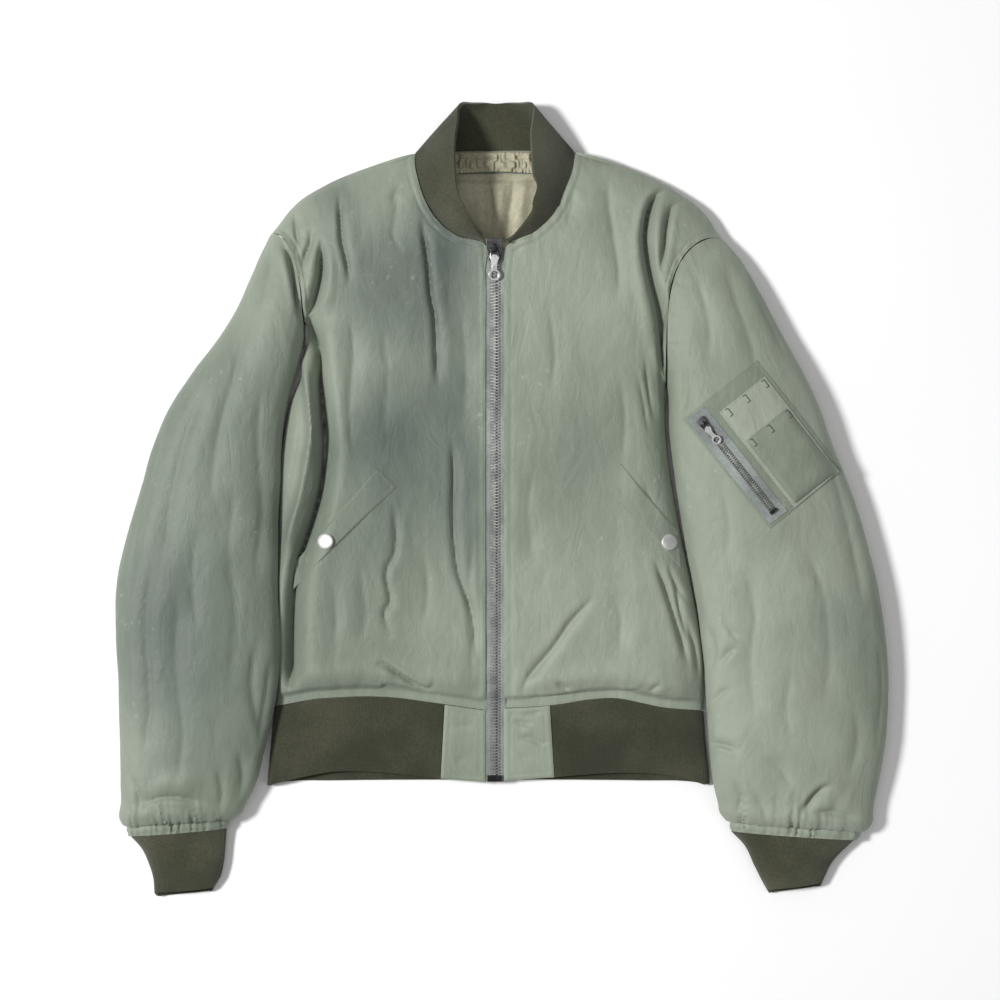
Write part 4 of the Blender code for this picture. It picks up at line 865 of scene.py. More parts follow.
FOLDS_SLEEVE_LEFT = [
    ([(175, 106), (200, 75), (270, -10), (295, -41)], 26, 26, 2.8, 0.0),
    ([(190, 236), (200, 205), (208, 170), (205, 130)], 10, 11, -1.8, 0.0),
    ([(222, 242), (232, 205), (248, 160), (256, 120)], 9, 11, -1.7, 0.0),
    ([(250, 216), (268, 180), (290, 132)], 5, 6, -1.3, 0.0),
    ([(180, 150), (184, 110), (180, 70)], 8, 9, -1.6, 0.0),
    ([(320, 60), (338, 10), (352, -50), (362, -110)], 7, 9, -1.7, 0.0),
    ([(300, -40), (320, -90), (326, -150), (322, -210)], 12, 13, -1.8, 0.0),
    ([(240, -60), (252, -110), (248, -170), (256, -220)], 12, 12, -1.9, 0.0),
    ([(204, -118), (212, -150), (206, -178)], 4, 5, -2.0, 0.0),
    ([(220, -110), (228, -128), (240, -140)], 3, 4, -1.8, 0.0),
    ([(216, -168), (226, -152), (238, -146)], 3, 4, -1.7, 0.0),
    ([(208, -206), (220, -192), (232, -186)], 3, 4, -1.6, 0.0),
    ([(207, -243), (220, -244), (240, -250)], 3, 4, -2.6, 0.3),
    ([(334, -282), (322, -286), (312, -294), (303, -306), (297, -316)], 5, 4, -4.6, 0.35),
    ([(306, -312), (327, -311), (345, -315), (360, -320)], 4, 4, -3.4, 0.2),
    ([(262, -252), (280, -268), (292, -290)], 9, 7, -2.0, 0.0),
    ([(350, -200), (356, -240), (346, -280)], 8, 8, -1.8, 0.0),
    ([(232, -276), (240, -296), (236, -316)], 4, 4, -2.2, 0.0),
    ([(252, -290), (262, -306), (266, -322)], 4, 4, -1.8, 0.0),
    ([(376, -130), (380, -190), (374, -250)], 4, 5, -1.4, 0.0),
    ([(216, 30), (226, -20), (222, -70)], 9, 10, -1.4, 0.0),
    ([(290, -160), (284, -210), (292, -250)], 9, 9, -1.4, 0.0),
]
FOLDS_BACK = [
    ([(-150, 300), (-146, 220), (-156, 120), (-150, 20)], 12, 14, -2.0, 0.0),
    ([(-90, 200), (-82, 120), (-92, 20), (-84, -80)], 12, 14, -1.8, 0.0),
    ([(-20, 310), (-14, 220), (-24, 120), (-16, 10)], 14, 16, -1.8, 0.0),
    ([(60, 250), (66, 160), (56, 60), (64, -60)], 12, 14, -1.9, 0.0),
    ([(140, 240), (134, 140), (144, 40), (136, -70)], 12, 13, -1.9, 0.0),
    ([(-170, -60), (-120, -140), (-60, -180)], 9, 10, -1.8, 0.2),
    ([(150, -90), (110, -150), (50, -186)], 9, 10, -1.8, 0.2),
    ([(-30, -90), (-36, -140), (-28, -190)], 7, 8, -1.6, 0.0),
]


def folds(plan, rows):
    """Total rise of a table of folds: broad soft flanks and, in a valley, a narrow crease down its middle."""
    total = np.zeros(plan.shape[:-1])
    for line, start_width, end_width, rise, lean in rows:
        curve = evenly(np.array(line, float), 4 * len(line) + 1)
        gap, side, share, run = away(plan, curve)
        width = (start_width + (end_width - start_width) * share) * (1 + lean * side)
        tail = min(0.4, 34 / run)
        fade = smooth(share, 0.0, tail) * (1 - smooth(share, 1 - tail, 1.0))
        broad = np.exp(-((gap / width) ** 2)) - 0.22 * np.exp(-(((gap - 2.1 * width) / (1.2 * width)) ** 2))
        pinch = np.exp(-((gap / (1.2 + 0.2 * width)) ** 2))
        total += rise * fade * (0.75 * broad + 0.6 * pinch if rise < 0 else broad)
    return total


def puffiness(plan, seed, turn, amount=1.0):
    """The uneven fill of a padded shell: long swells, smaller puffs and fine crinkles, in millimetres."""
    swell = 1.9 * noise(plan, 60, seed, 1.9, turn) + 0.6 * noise(plan, 26, seed + 1, 2.2, turn)
    fine = 0.85 * crinkle(plan, 34, seed + 2, 2.6, turn) + 0.4 * crinkle(plan, 12, seed + 4, 2.0, turn)
    return amount * (swell + fine)


def new_finish(name, roughness, metallic=0.0, sheen=0.0, sheen_roughness=0.5, specular=0.5):
    """A new material and short ways to add its nodes. Textures run over the object's own space, in metres."""
    made = bpy.data.materials.new(name)
    made.use_nodes = True
    tree = made.node_tree
    shader = tree.nodes["Principled BSDF"]
    for socket, value in (
        ("Roughness", roughness), ("Metallic", metallic), ("Sheen Weight", sheen),
        ("Sheen Roughness", sheen_roughness), ("Specular IOR Level", specular),
    ):
        shader.inputs[socket].default_value = value

    def add(kind, inputs=None, **settings):
        node = tree.nodes.new("ShaderNode" + kind)
        for key, value in settings.items():
            setattr(node, key, value)
        for key, value in (inputs or {}).items():
            if isinstance(value, bpy.types.NodeSocket):
                tree.links.new(value, node.inputs[key])
            else:
                node.inputs[key].default_value = value
        return node

    def worked(kind, first, second, operation):
        return add(kind, {0: first, 1: second}, operation=operation).outputs[0]

    def blend(factor, low, high, mode="MIX"):
        low, high = ((*value, 1) if isinstance(value, tuple) else value for value in (low, high))
        return add("Mix", {0: factor, 6: low, 7: high}, data_type="RGBA", blend_type=mode).outputs[2]

    def ramp(value, low, high, top=1.0):
        limits = {"Value": value, "From Min": low, "From Max": high, "To Max": top}
        return add("MapRange", limits, interpolation_type="SMOOTHSTEP").outputs[0]

    def spread(value, low, high):
        limits = {"Value": value, "From Min": NOISE_LOW, "From Max": NOISE_HIGH, "To Min": low,
                  "To Max": high}
        return add("MapRange", limits).outputs[0]

    def shaded(colour, value, low, high):
        shade = spread(value, low, high)
        return blend(1.0, colour, add("CombineColor", {0: shade, 1: shade, 2: shade}).outputs[0], "MULTIPLY")

    def clouds(scale, detail=3.0, roughness=0.55, stretch=None, distortion=0.0):
        at = add("Mapping", {"Vector": place, "Scale": stretch}).outputs[0] if stretch else place
        inputs = {"Vector": at, "Scale": scale, "Detail": detail, "Roughness": roughness,
                  "Distortion": distortion}
        return add("TexNoise", inputs).outputs[0]

    def weave(scale, distortion):
        inputs = {"Vector": place, "Scale": scale, "Distortion": distortion, "Detail": 1.0}
        return add("TexWave", inputs, bands_direction="DIAGONAL").outputs[1]

    def wear(colour, *bumps, rough=None):
        """Puts on the colour, the roughness and the bumps, each a height, its distance and its strength."""
        tree.links.new(colour, shader.inputs["Base Color"])
        if rough:
            tree.links.new(rough, shader.inputs["Roughness"])
        under = {}
        for height, distance, strength in bumps:
            bump = add("Bump", {"Height": height, "Distance": distance, "Strength": strength, **under})
            under = {"Normal": bump.outputs[0]}
        if under:
            tree.links.new(under["Normal"], shader.inputs["Normal"])
        return made

    place = add("TexCoord").outputs["Object"]
    return SimpleNamespace(
        place=place, add=add, worked=worked, blend=blend, ramp=ramp, spread=spread, shaded=shaded,
        clouds=clouds, weave=weave, wear=wear,
    )


def nylon_material(name, base, pale, blotches=True):
    """Faded nylon twill: dyed cloudiness, blue-grey blotches, pale abrasion flecks and a soft sheen."""
    kit = new_finish(name, 0.5, sheen=0.12, sheen_roughness=0.45, specular=0.32)
    colour = kit.blend(kit.ramp(kit.clouds(5.0, 3.0, 0.5, (1.0, 0.6, 1.0)), 0.36, 0.66), base, pale)
    for x, y, across, along, strength in BLOTCHES if blotches else ():
        moved = kit.worked("VectorMath", kit.place, (x * MM, y * MM, 0.0), "SUBTRACT")
        flat = kit.worked("VectorMath", moved, (1000 / across, 1000 / along, 0.0), "MULTIPLY")
        far = kit.add("VectorMath", {0: flat}, operation="LENGTH").outputs["Value"]
        edge = kit.worked("Math", far, kit.clouds(9.0, 2.0, 0.5), "ADD")
        colour = kit.blend(kit.ramp(edge, BLOTCH_OUTSIDE, BLOTCH_INSIDE, strength), colour, SAGE_DARK)
    mottle = kit.clouds(38.0, 4.0, 0.6, (1.0, 0.5, 1.0))
    colour = kit.shaded(colour, mottle, 0.92, 1.07)
    patchy = kit.ramp(kit.clouds(11.0, 2.0, 0.5), 0.5, 0.68)
    fleck = kit.ramp(kit.clouds(150.0, 3.0, 0.65, (1.15, 0.8, 1.0)), 0.6, 0.76)
    worn = kit.worked("Math", kit.worked("Math", patchy, fleck, "MULTIPLY"), 0.38, "MULTIPLY")
    crumple = kit.clouds(120.0, 4.0, 0.62, (1.0, 0.45, 1.0), 0.6)
    wrinkle = kit.clouds(46.0, 3.0, 0.55, (1.0, 0.4, 1.0), 1.2)
    return kit.wear(kit.blend(worn, colour, FLECK), (kit.weave(620.0, 0.6), 0.00008, 0.5),
                    (crumple, 0.0012, 0.45), (wrinkle, 0.003, 0.4), rough=kit.spread(mottle, 0.44, 0.58))


def rib_material(name, tone=1.0):
    """Washed olive rib knit: matt, faintly heathered, with a little fuzz. tone darkens it."""
    kit = new_finish(name, 0.92, sheen=0.25, sheen_roughness=0.6, specular=0.15)
    low, high = (tuple(tone * value for value in colour) for colour in (RIB_DARK, RIB_PALE))
    colour = kit.blend(kit.ramp(kit.clouds(14.0, 3.0, 0.5), 0.35, 0.68), low, high)
    loops = kit.add("TexVoronoi", {"Vector": kit.place, "Scale": 900.0}).outputs[0]
    return kit.wear(kit.shaded(colour, kit.clouds(420.0, 2.0, 0.7), 0.8, 1.22), (loops, 0.0004, 0.5),
                    (kit.clouds(700.0, 3.0, 0.7), 0.0004, 0.5))


def cloth_material(name, low, high, roughness, weave_scale):
    """A plain woven cloth: lining, facing or zip tape."""
    kit = new_finish(name, roughness, sheen=0.1, specular=0.3)
    colour = kit.blend(kit.ramp(kit.clouds(22.0, 4.0, 0.6), 0.34, 0.68), low, high)
    return kit.wear(kit.shaded(colour, kit.clouds(300.0, 3.0, 0.65), 0.86, 1.14),
                    (kit.weave(weave_scale, 0.8), 0.00015, 0.6), (kit.clouds(70.0, 4.0, 0.6), 0.0015, 0.4))


def metal_material(name, bright, dull, roughness, metallic=1.0):
    """Plated metal with rubbed, uneven brightness and fine scratches."""
    kit = new_finish(name, roughness, metallic=metallic)
    rubbed = kit.clouds(90.0, 3.0, 0.5)
    rough = kit.spread(rubbed, roughness + 0.12, max(roughness - 0.08, 0.05))
    scratch = kit.clouds(900.0, 2.0, 0.6, (1.0, 0.15, 1.0))
    colour = kit.blend(kit.ramp(rubbed, 0.34, 0.6), dull, bright)
    return kit.wear(colour, (scratch, 0.00008, 0.5), rough=rough)


def thread_material(name, low, high):
    """Twisted sewing thread."""
    kit = new_finish(name, 0.7, sheen=0.2)
    twist = kit.clouds(1500.0, 2.0, 0.6)
    return kit.wear(kit.blend(kit.ramp(twist, 0.35, 0.65), low, high), (twist, 0.0001, 0.5))


def flattened_band(z, gap, width, low, slope, step):
    """Heights with a seam's band laid flat beside the seam, and the puffed cloth rising just behind it."""
    puffed = smooth(gap, width - 0.5, width + step)
    return (low + slope * gap) * (1 - puffed) + z * puffed


def front_surface(coarse, rows, seed, swell):
    """The fine outer face of a front, with its folds, gathers and flattened seams."""
    fine = refined(coarse, FRONT_SPACING)
    out = grid_normals(fine)
    plan = fine[..., :2].copy()
    neck = coarse[: ARM_STEPS + 1, -1]
    opening, waist = coarse[ARM_STEPS:, -1], coarse[-1]
    arm, side, shoulder = coarse[: ARM_STEPS + 1, 0], coarse[ARM_STEPS:, 0], coarse[0]
    to_neck, to_opening, to_waist = (away(plan, line)[0] for line in (neck, opening, waist))
    to_arm, to_side, to_shoulder = (away(plan, line)[0] for line in (arm, side, shoulder))
    held = smooth(np.minimum.reduce([to_neck, to_opening, to_waist, to_shoulder]), 1.0, 15.0)
    held *= smooth(np.minimum(to_arm, to_side), 0.0, 5.0)
    rise = puffiness(plan, seed, 84, swell) * held
    rise += folds(plan, rows) * smooth(np.minimum.reduce([to_neck, to_waist, to_shoulder]), 0.5, 7.0)
    rise += puckers(plan, neck, 13, 17, 0.8, seed + 20)
    rise += puckers(plan, waist, 12, 20, 1.1, seed + 21)
    rise += puckers(plan, opening, 15, 10, 0.45, seed + 22) + puckers(plan, shoulder, 13, 14, 0.6, seed + 23)
    rise += puckers(plan, arm, 10, 16, 1.0, seed + 24)
    rise += seam_margin(plan, neck, NECK_MARGIN, 0.5) + seam_margin(plan, opening, EDGE_MARGIN, 0.35)
    rise += seam_margin(plan, arm, ARM_MARGIN, 0.45)
    rise *= smooth(np.minimum.reduce([to_neck, to_waist, to_arm, to_side, to_shoulder, to_opening]), -0.5,
                   1.8)
    fine = fine + rise[..., None] * out * SIDE_SHARE
    bulge = 3.2 * np.exp(-(((to_waist - 24) / 11) ** 2)) * smooth(to_opening, 4, 30) * smooth(to_side, 4, 30)
    band_low = fine[-1:, :, 2]
    fine[..., 2] = flattened_band(fine[..., 2] + bulge, to_waist, WAIST_MARGIN, band_low, 0.16, 5.0)
    return fine, {"neck": neck, "opening": opening, "waist": waist, "arm": arm, "shoulder": shoulder}


def sleeve_surface(coarse, rows, seed, swell, way):
    """The fine outer face of a sleeve, gathered into its cuff. It lies on the surface along its underside."""
    fine = refined(coarse, SLEEVE_SPACING, wrap=True)
    out = grid_normals(fine, wrap=True, centre=fine.mean(axis=(0, 1)))
    plan = fine[..., :2].copy()
    down = np.cumsum(np.linalg.norm(np.diff(fine, axis=0, prepend=fine[:1]), axis=-1), axis=0)
    from_cuff = down[-1:] - down
    cuff, arm = fine[-1], fine[0]
    held = smooth(down, 0.0, 14.0) * smooth(from_cuff, 4.0, 26.0)
    rise = puffiness(plan, seed, way, swell) * held
    rise += folds(plan, rows) * smooth(down, 0.0, 5.0) * smooth(from_cuff, 2.0, 9.0)
    rise += puckers(plan, cuff, 9, 24, 1.5, seed + 31) + puckers(plan, cuff, 17, 42, 1.3, seed + 32)
    rise += puckers(plan, arm, 12, 14, 0.6, seed + 33)
    tuck = np.exp(-(((from_cuff - CUFF_MARGIN) / 2.2) ** 2))
    rise += 2.4 * np.exp(-(((from_cuff - CUFF_MARGIN - 13) / 9) ** 2)) - 2.6 * tuck
    rise *= smooth(np.minimum(down, from_cuff), -0.5, 2.5)
    fine = fine + rise[..., None] * out
    fine[..., 2] = np.maximum(fine[..., 2], 0.0)
    return fine


def ribbed(coarse, row_spacing, wrap, seed, wave):
    """A rib-knit surface: ridges that run down the rows, a row of loops apart, on an even grid round it."""
    rough = refined(coarse, row_spacing, wrap)
    ring = np.concatenate([rough, rough[:, :1]], axis=1) if wrap else rough
    steps = np.linalg.norm(np.diff(ring, axis=1), axis=-1).mean(axis=0)
    run = np.concatenate([[0], np.cumsum(steps)])
    count = 2 * int(round(run[-1] / RIB_PITCH * RIB_SAMPLES / 2))
    at = np.linspace(0, run[-1], count + 1)
    where = np.interp(at, run, np.arange(len(run)))
    low = np.minimum(where.astype(int), len(run) - 2)
    share = (where - low)[None, :, None]
    even = ring[:, low] * (1 - share) + ring[:, low + 1] * share
    if wrap:
        even = even[:, :-1]
    phase = 2 * np.pi * np.arange(even.shape[1]) / RIB_SAMPLES
    out = grid_normals(even, wrap, rough.mean(axis=(0, 1)))
    rows = np.arange(even.shape[0])[:, None]
    sway = 1 + 0.18 * np.sin(phase[None] * 0.031 + rows * 0.4 + seed)
    ridge = RIB_RELIEF * (np.abs(np.cos(phase / 2))[None] ** 0.7 - 0.55) * sway
    plan = even[..., :2]
    soft = wave * (noise(plan, 34, seed + 40) + 0.5 * noise(plan, 15, seed + 41))
    even = even + (ridge + soft)[..., None] * out
    even[..., 2] = np.maximum(even[..., 2], 0.0)
    return even, out


def add_rib(name, coarse, row_spacing, finish, wrap=False, seed=1, wave=0.0, both=False):
    """A doubled rib-knit band with its ridges on the outer face, and on the inner one where that shows."""
    outer, out = ribbed(coarse, row_spacing, wrap, seed, wave)
    step = 1 if both else 2
    inner = (outer - RIB * out)[::step, ::step]
    return outer, add_shell(name, outer, RIB, finish, wrap, inner=inner)


def declare(piece, flat, area, rests_on, replaced=None, held="laid", with_pieces=()):
    """Hides the CAD part named by replaced, if any. The piece, and its cut given as its flat width and length
    in millimetres and its flat area in square metres, are not used.
    """
    if replaced:
        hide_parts(replaced)


def build_body(nylon, rib, band_rib):
    """Fronts, back, sleeves and rib-knit trim. Returns their fine outer faces by name."""
    right, right_in = front_grids(FRONT_RIGHT, SHOULDER_RIGHT, WAIST_RIGHT, SLEEVE_RIGHT)
    left, left_in = front_grids(FRONT_LEFT, SHOULDER_LEFT, WAIST_LEFT, SLEEVE_LEFT)
    back, _ = back_grids(right, right_in, left, left_in)
    mirror = np.array((-1, 1, 1))
    sleeve_right = sleeve_grids(SLEEVE_RIGHT, 18, SHELL, ARMHOLE_SHIFT * mirror)[0]
    sleeve_left = sleeve_grids(SLEEVE_LEFT, 18, SHELL, ARMHOLE_SHIFT)[0]
    made, seams = {}, {}
    for name, coarse, rows, seed in (
        ("front_right", right, FOLDS_FRONT_RIGHT, 100), ("front_left", left, FOLDS_FRONT_LEFT, 200),
    ):
        made[name], seams[name] = front_surface(coarse, rows, seed, 0.75)
        piece = add_shell(name + "_shell", made[name], SHELL, nylon)
        declare(piece, *CUTS[name], ["back"], name)
    for name, coarse, rows, seed, way in (
        ("sleeve_right", sleeve_right, FOLDS_SLEEVE_RIGHT, 300, 78),
        ("sleeve_left", sleeve_left, FOLDS_SLEEVE_LEFT, 400, -74),
    ):
        made[name] = sleeve_surface(coarse, rows, seed, 0.8, way)
        centre = made[name].mean(axis=(0, 1))
        piece = add_shell(name + "_shell", made[name], SHELL, nylon, wrap=True, centre=centre)
        declare(piece, *CUTS[name], ["floor"], name)
    lower = refined(back, BACK_SPACING)
    plan = lower[..., :2]
    held = smooth(away(plan, border_of(back))[0], 1, 30)
    swell = (folds(plan, FOLDS_BACK) * -1.2 + np.abs(puffiness(plan, 500, 88, 0.6))) * held
    lower[..., 2] = np.maximum(lower[..., 2] + np.maximum(swell, 0), 0.0)
    made["back"] = lower
    piece = add_shell("back_shell", lower, SHELL, nylon, centre=-FAR_BELOW)
    declare(piece, *CUTS["back"], ["floor"], "back")
    collar = collar_grids(right, left, back)[0]
    made["collar_rib"], piece = add_rib("collar_knit", collar, 3.0, rib, seed=3, wave=0.5, both=True)
    declare(piece, *CUTS["collar_rib"], ["back"], "collar_rib", held="gathered")
    band = waist_grids(right, left, back)[0]
    made["waist_rib"], piece = add_rib("waist_knit", band, 4.0, band_rib, seed=5, wave=0.5)
    declare(piece, *CUTS["waist_rib"], ["floor"], "waist_rib", held="stretched")
    for name, rows, seed in (("cuff_right", CUFF_RIGHT, 7), ("cuff_left", CUFF_LEFT, 9)):
        coarse = sleeve_grids(rows, 5, RIB, slant=CUFF_SLANT)[0]
        made[name], piece = add_rib(name + "_knit", coarse, 3.2, rib, wrap=True, seed=seed,
                                    wave=0.4, both=True)
        declare(piece, *CUTS[name], ["floor"], name)
    grids = {"right": right, "left": left}
    return made, seams, grids


def build_stage():
    """Floor, lights and the camera straight above."""
    kit = new_finish("paper_floor", 0.9, specular=0.1)
    paper = kit.wear(kit.blend(kit.clouds(3.0, 2.0, 0.5), (0.93, 0.93, 0.93), (0.96, 0.96, 0.96)))
    half = FLOOR_SIZE / 2
    mesh = bpy.data.meshes.new("floor")
    mesh.from_pydata([(-half, -half, 0), (half, -half, 0), (half, half, 0), (-half, half, 0)], [],
                     [(0, 1, 2, 3)])
    mesh.materials.append(paper)
    floor = bpy.data.objects.new("floor", mesh)
    floor.location.z = FLOOR_DROP
    bpy.context.scene.collection.objects.link(floor)
    world = bpy.data.worlds.new("studio")
    world.use_nodes = True
    world.node_tree.nodes["Background"].inputs[0].default_value = (1, 1, 1, 1)
    world.node_tree.nodes["Background"].inputs[1].default_value = WORLD_LIGHT
    bpy.context.scene.world = world
    for name, spot, size, power in LIGHTS:
        lamp = bpy.data.lights.new(name, "AREA")
        lamp.shape, lamp.size, lamp.energy = "DISK", size, power
        made = bpy.data.objects.new(name, lamp)
        made.location = spot
        made.rotation_euler = (Vector((0, 0, 0)) - Vector(spot)).to_track_quat("-Z", "Y").to_euler()
        bpy.context.scene.collection.objects.link(made)
    lens = bpy.data.cameras.new("camera")
    lens.lens, lens.clip_end = CAMERA_LENS, 20.0
    camera = bpy.data.objects.new("camera", lens)
    camera.location = (0, 0, CAMERA_HEIGHT)
    bpy.context.scene.collection.objects.link(camera)
    bpy.context.scene.camera = camera
    bpy.context.scene.view_settings.view_transform = "Standard"


FOLDS_HEM = {
    "right": [([(-50, -222), (-36, -226), (-24, -224)], 4, 4, -0.8, 0.0),
              ([(-46, -262), (-32, -258)], 4, 4, -0.6, 0.0)],
    "left": [
        ([(18, -216), (32, -214), (46, -210)], 3, 3, -1.3, 0.2),
        ([(10, -223), (20, -223), (34, -226)], 3, 3, -1.5, 0.2),
        ([(14, -237), (30, -239), (42, -244), (50, -238)], 3, 3, -1.5, 0.2),
        ([(20, -230), (36, -232)], 4, 4, 0.9, 0.0), ([(16, -256), (36, -258)], 5, 5, -0.6, 0.0),
    ],
}
FOLDS_LINING = [
    ([(-16, 334), (-10, 300), (-14, 250)], 5, 7, -3.0, 0.2),
    ([(14, 334), (12, 300), (2, 250)], 5, 7, -2.4, 0.0),
    ([(-2, 330), (0, 295), (-4, 250)], 5, 6, 2.2, 0.0),
    ([(26, 330), (22, 300), (14, 262)], 4, 6, 2.0, 0.0),
]


def offset_line(line, distance):
    """A polyline of plan points moved sideways, to its left if distance is positive."""
    line = np.asarray(line, float)[:, :2]
    ahead = np.gradient(line, axis=0)
    ahead /= np.maximum(np.linalg.norm(ahead, axis=1, keepdims=True), 1e-9)
    return line + distance * np.stack([-ahead[:, 1], ahead[:, 0]], axis=1)


def sampled(line, step):
    """Points every step along a polyline, and the way it runs at each."""
    line = np.asarray(line, float)
    run = np.concatenate([[0], np.cumsum(np.linalg.norm(np.diff(line, axis=0), axis=1))])
    at = np.arange(step / 2, run[-1], step)
    points = np.stack([np.interp(at, run, column) for column in line.T], axis=1)
    ahead = np.gradient(points, axis=0) if len(points) > 1 else np.ones_like(points)
    return points, ahead / np.maximum(np.linalg.norm(ahead, axis=1, keepdims=True), 1e-9)


def stitch_shapes(carrier, line, pitch=3.0, length=2.1, half=0.26, lift=0.08):
    """Raised stitches along a plan line: spindles of four sides that dip into the cloth at both ends."""
    points, faces = [], []
    for (x, y), (dx, dy) in zip(*sampled(line, pitch)):
        base = len(points)
        a = (x - dx * length / 2, y - dy * length / 2)
        b = (x + dx * length / 2, y + dy * length / 2)
        za, zb = over(carrier, *a, -1.0), over(carrier, *b, -1.0)
        if min(za, zb) < 0:
            continue
        points += [(*a, za - 0.15), (*b, zb - 0.15)]
        for share in (0.3, 0.7):
            px, py = a[0] + (b[0] - a[0]) * share, a[1] + (b[1] - a[1]) * share
            pz = za + (zb - za) * share + lift
            points += [(px - dy * half, py + dx * half, pz), (px, py, pz + half),
                       (px + dy * half, py - dx * half, pz), (px, py, pz - half)]
        for k in range(4):
            j = (k + 1) % 4
            near, far = base + 2, base + 6
            faces += [(base, near + k, near + j), (near + k, far + k, far + j, near + j),
                      (far + k, base + 1, far + j)]
    return points, faces


def add_joined(name, parts, finish, body="root"):
    """One piece from many small shapes."""
    points, faces = [], []
    for more_points, more_faces in parts:
        base = len(points)
        points += list(more_points)
        faces += [tuple(base + i for i in face) for face in more_faces]
    return new_object(name, points, faces, finish, body)


def pillow(rows, columns, edge, centre):
    """Rise of a thin puffed piece over its grid: edge at its rim and centre inside."""
    u, v = np.linspace(0, 1, columns)[None], np.linspace(0, 1, rows)[:, None]
    inside = np.minimum(np.minimum(u, 1 - u) * columns, np.minimum(v, 1 - v) * rows)
    return edge + (centre - edge) * smooth(inside, 0, 5)


def laid_piece(name, carrier, plan, edge, centre, finish, seed, crumple=0.35, ply=1.0):
    """A piece of cloth sewn flat on a carrier, a little proud inside its edges."""
    rows, columns = plan.shape[:2]
    height = dropped(carrier, plan) + pillow(rows, columns, edge, centre)
    inside = smooth(pillow(rows, columns, 0.0, 1.0), 0.2, 1.0)
    height += crumple * inside * (noise(plan, 16, seed, 1.8, 20) + 0.9 * crinkle(plan, 9, seed + 1))
    grid = np.dstack([plan, height])
    return grid, add_shell(name, grid, ply, finish)


def tooth(x0, x1, y, z, deep, half_y):
    """One zip tooth: a bar with chamfered top edges."""
    points = []
    for rise, cut in ((-deep, 0.0), (-0.5, 0.0), (0.0, 0.45)):
        for sx, sy in ((x0, -1), (x1, -1), (x1, 1), (x0, 1)):
            toward = cut if sx == x0 else -cut
            points.append((sx + toward * np.sign(x1 - x0), y + sy * (half_y - cut * 0.8), z + rise))
    faces = [(8, 9, 10, 11)]
    for base in (0, 4):
        faces += [(base + i, base + (i + 1) % 4, base + 4 + (i + 1) % 4, base + 4 + i) for i in range(4)]
    return points, faces


def add_zip_row(name, frame_of, start, stop, pitch, wide, deep, finish):
    """Both rows of interlocked teeth along a zip. frame_of turns a place along and across into a point."""
    parts = []
    for index in range(int((stop - start) / pitch)):
        for side, shift in ((-1, 0.0), (1, pitch / 2)):
            along = start + index * pitch + shift
            points, faces = tooth(-side * wide * 0.16, side * wide / 2, 0.0, 0.0, deep, pitch * 0.2)
            parts.append(([frame_of(along + y, x, z) for x, y, z in points], faces))
    piece = add_joined(name, parts, finish)
    piece.data.set_sharp_from_angle(angle=math.radians(30))
    return piece


def rounded_copy(name, node, width, finish):
    """A CAD node's own shape with its edges rounded over."""
    shaped = bmesh.new()
    shaped.from_mesh(frame["nodes"][node].data)
    bmesh.ops.remove_doubles(shaped, verts=shaped.verts, dist=2e-5)
    bmesh.ops.dissolve_limit(shaped, angle_limit=math.radians(4), verts=shaped.verts, edges=shaped.edges)
    sharp = [edge for edge in shaped.edges if edge.is_manifold and edge.calc_face_angle(0) > math.radians(22)]
    bmesh.ops.bevel(shaped, geom=sharp, offset=width * MM, segments=3, profile=0.7, affect="EDGES",
                    clamp_overlap=True)
    mesh = bpy.data.meshes.new(name)
    shaped.to_mesh(mesh)
    shaped.free()
    mesh.materials.clear()
    mesh.materials.append(finish)
    mesh.shade_smooth()
    mesh.set_sharp_from_angle(angle=math.radians(40))
    made = bpy.data.objects.new(name, mesh)
    bpy.context.scene.collection.objects.link(made)
    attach(made, "root")
    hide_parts(node)
    return made


def arc(centre_y, radius, start, end, steps):
    """Points of an arc round a middle on the y axis, its angles in degrees."""
    turn = np.radians(np.linspace(start, end, steps))
    return [(radius * math.cos(t), centre_y + radius * math.sin(t)) for t in turn]


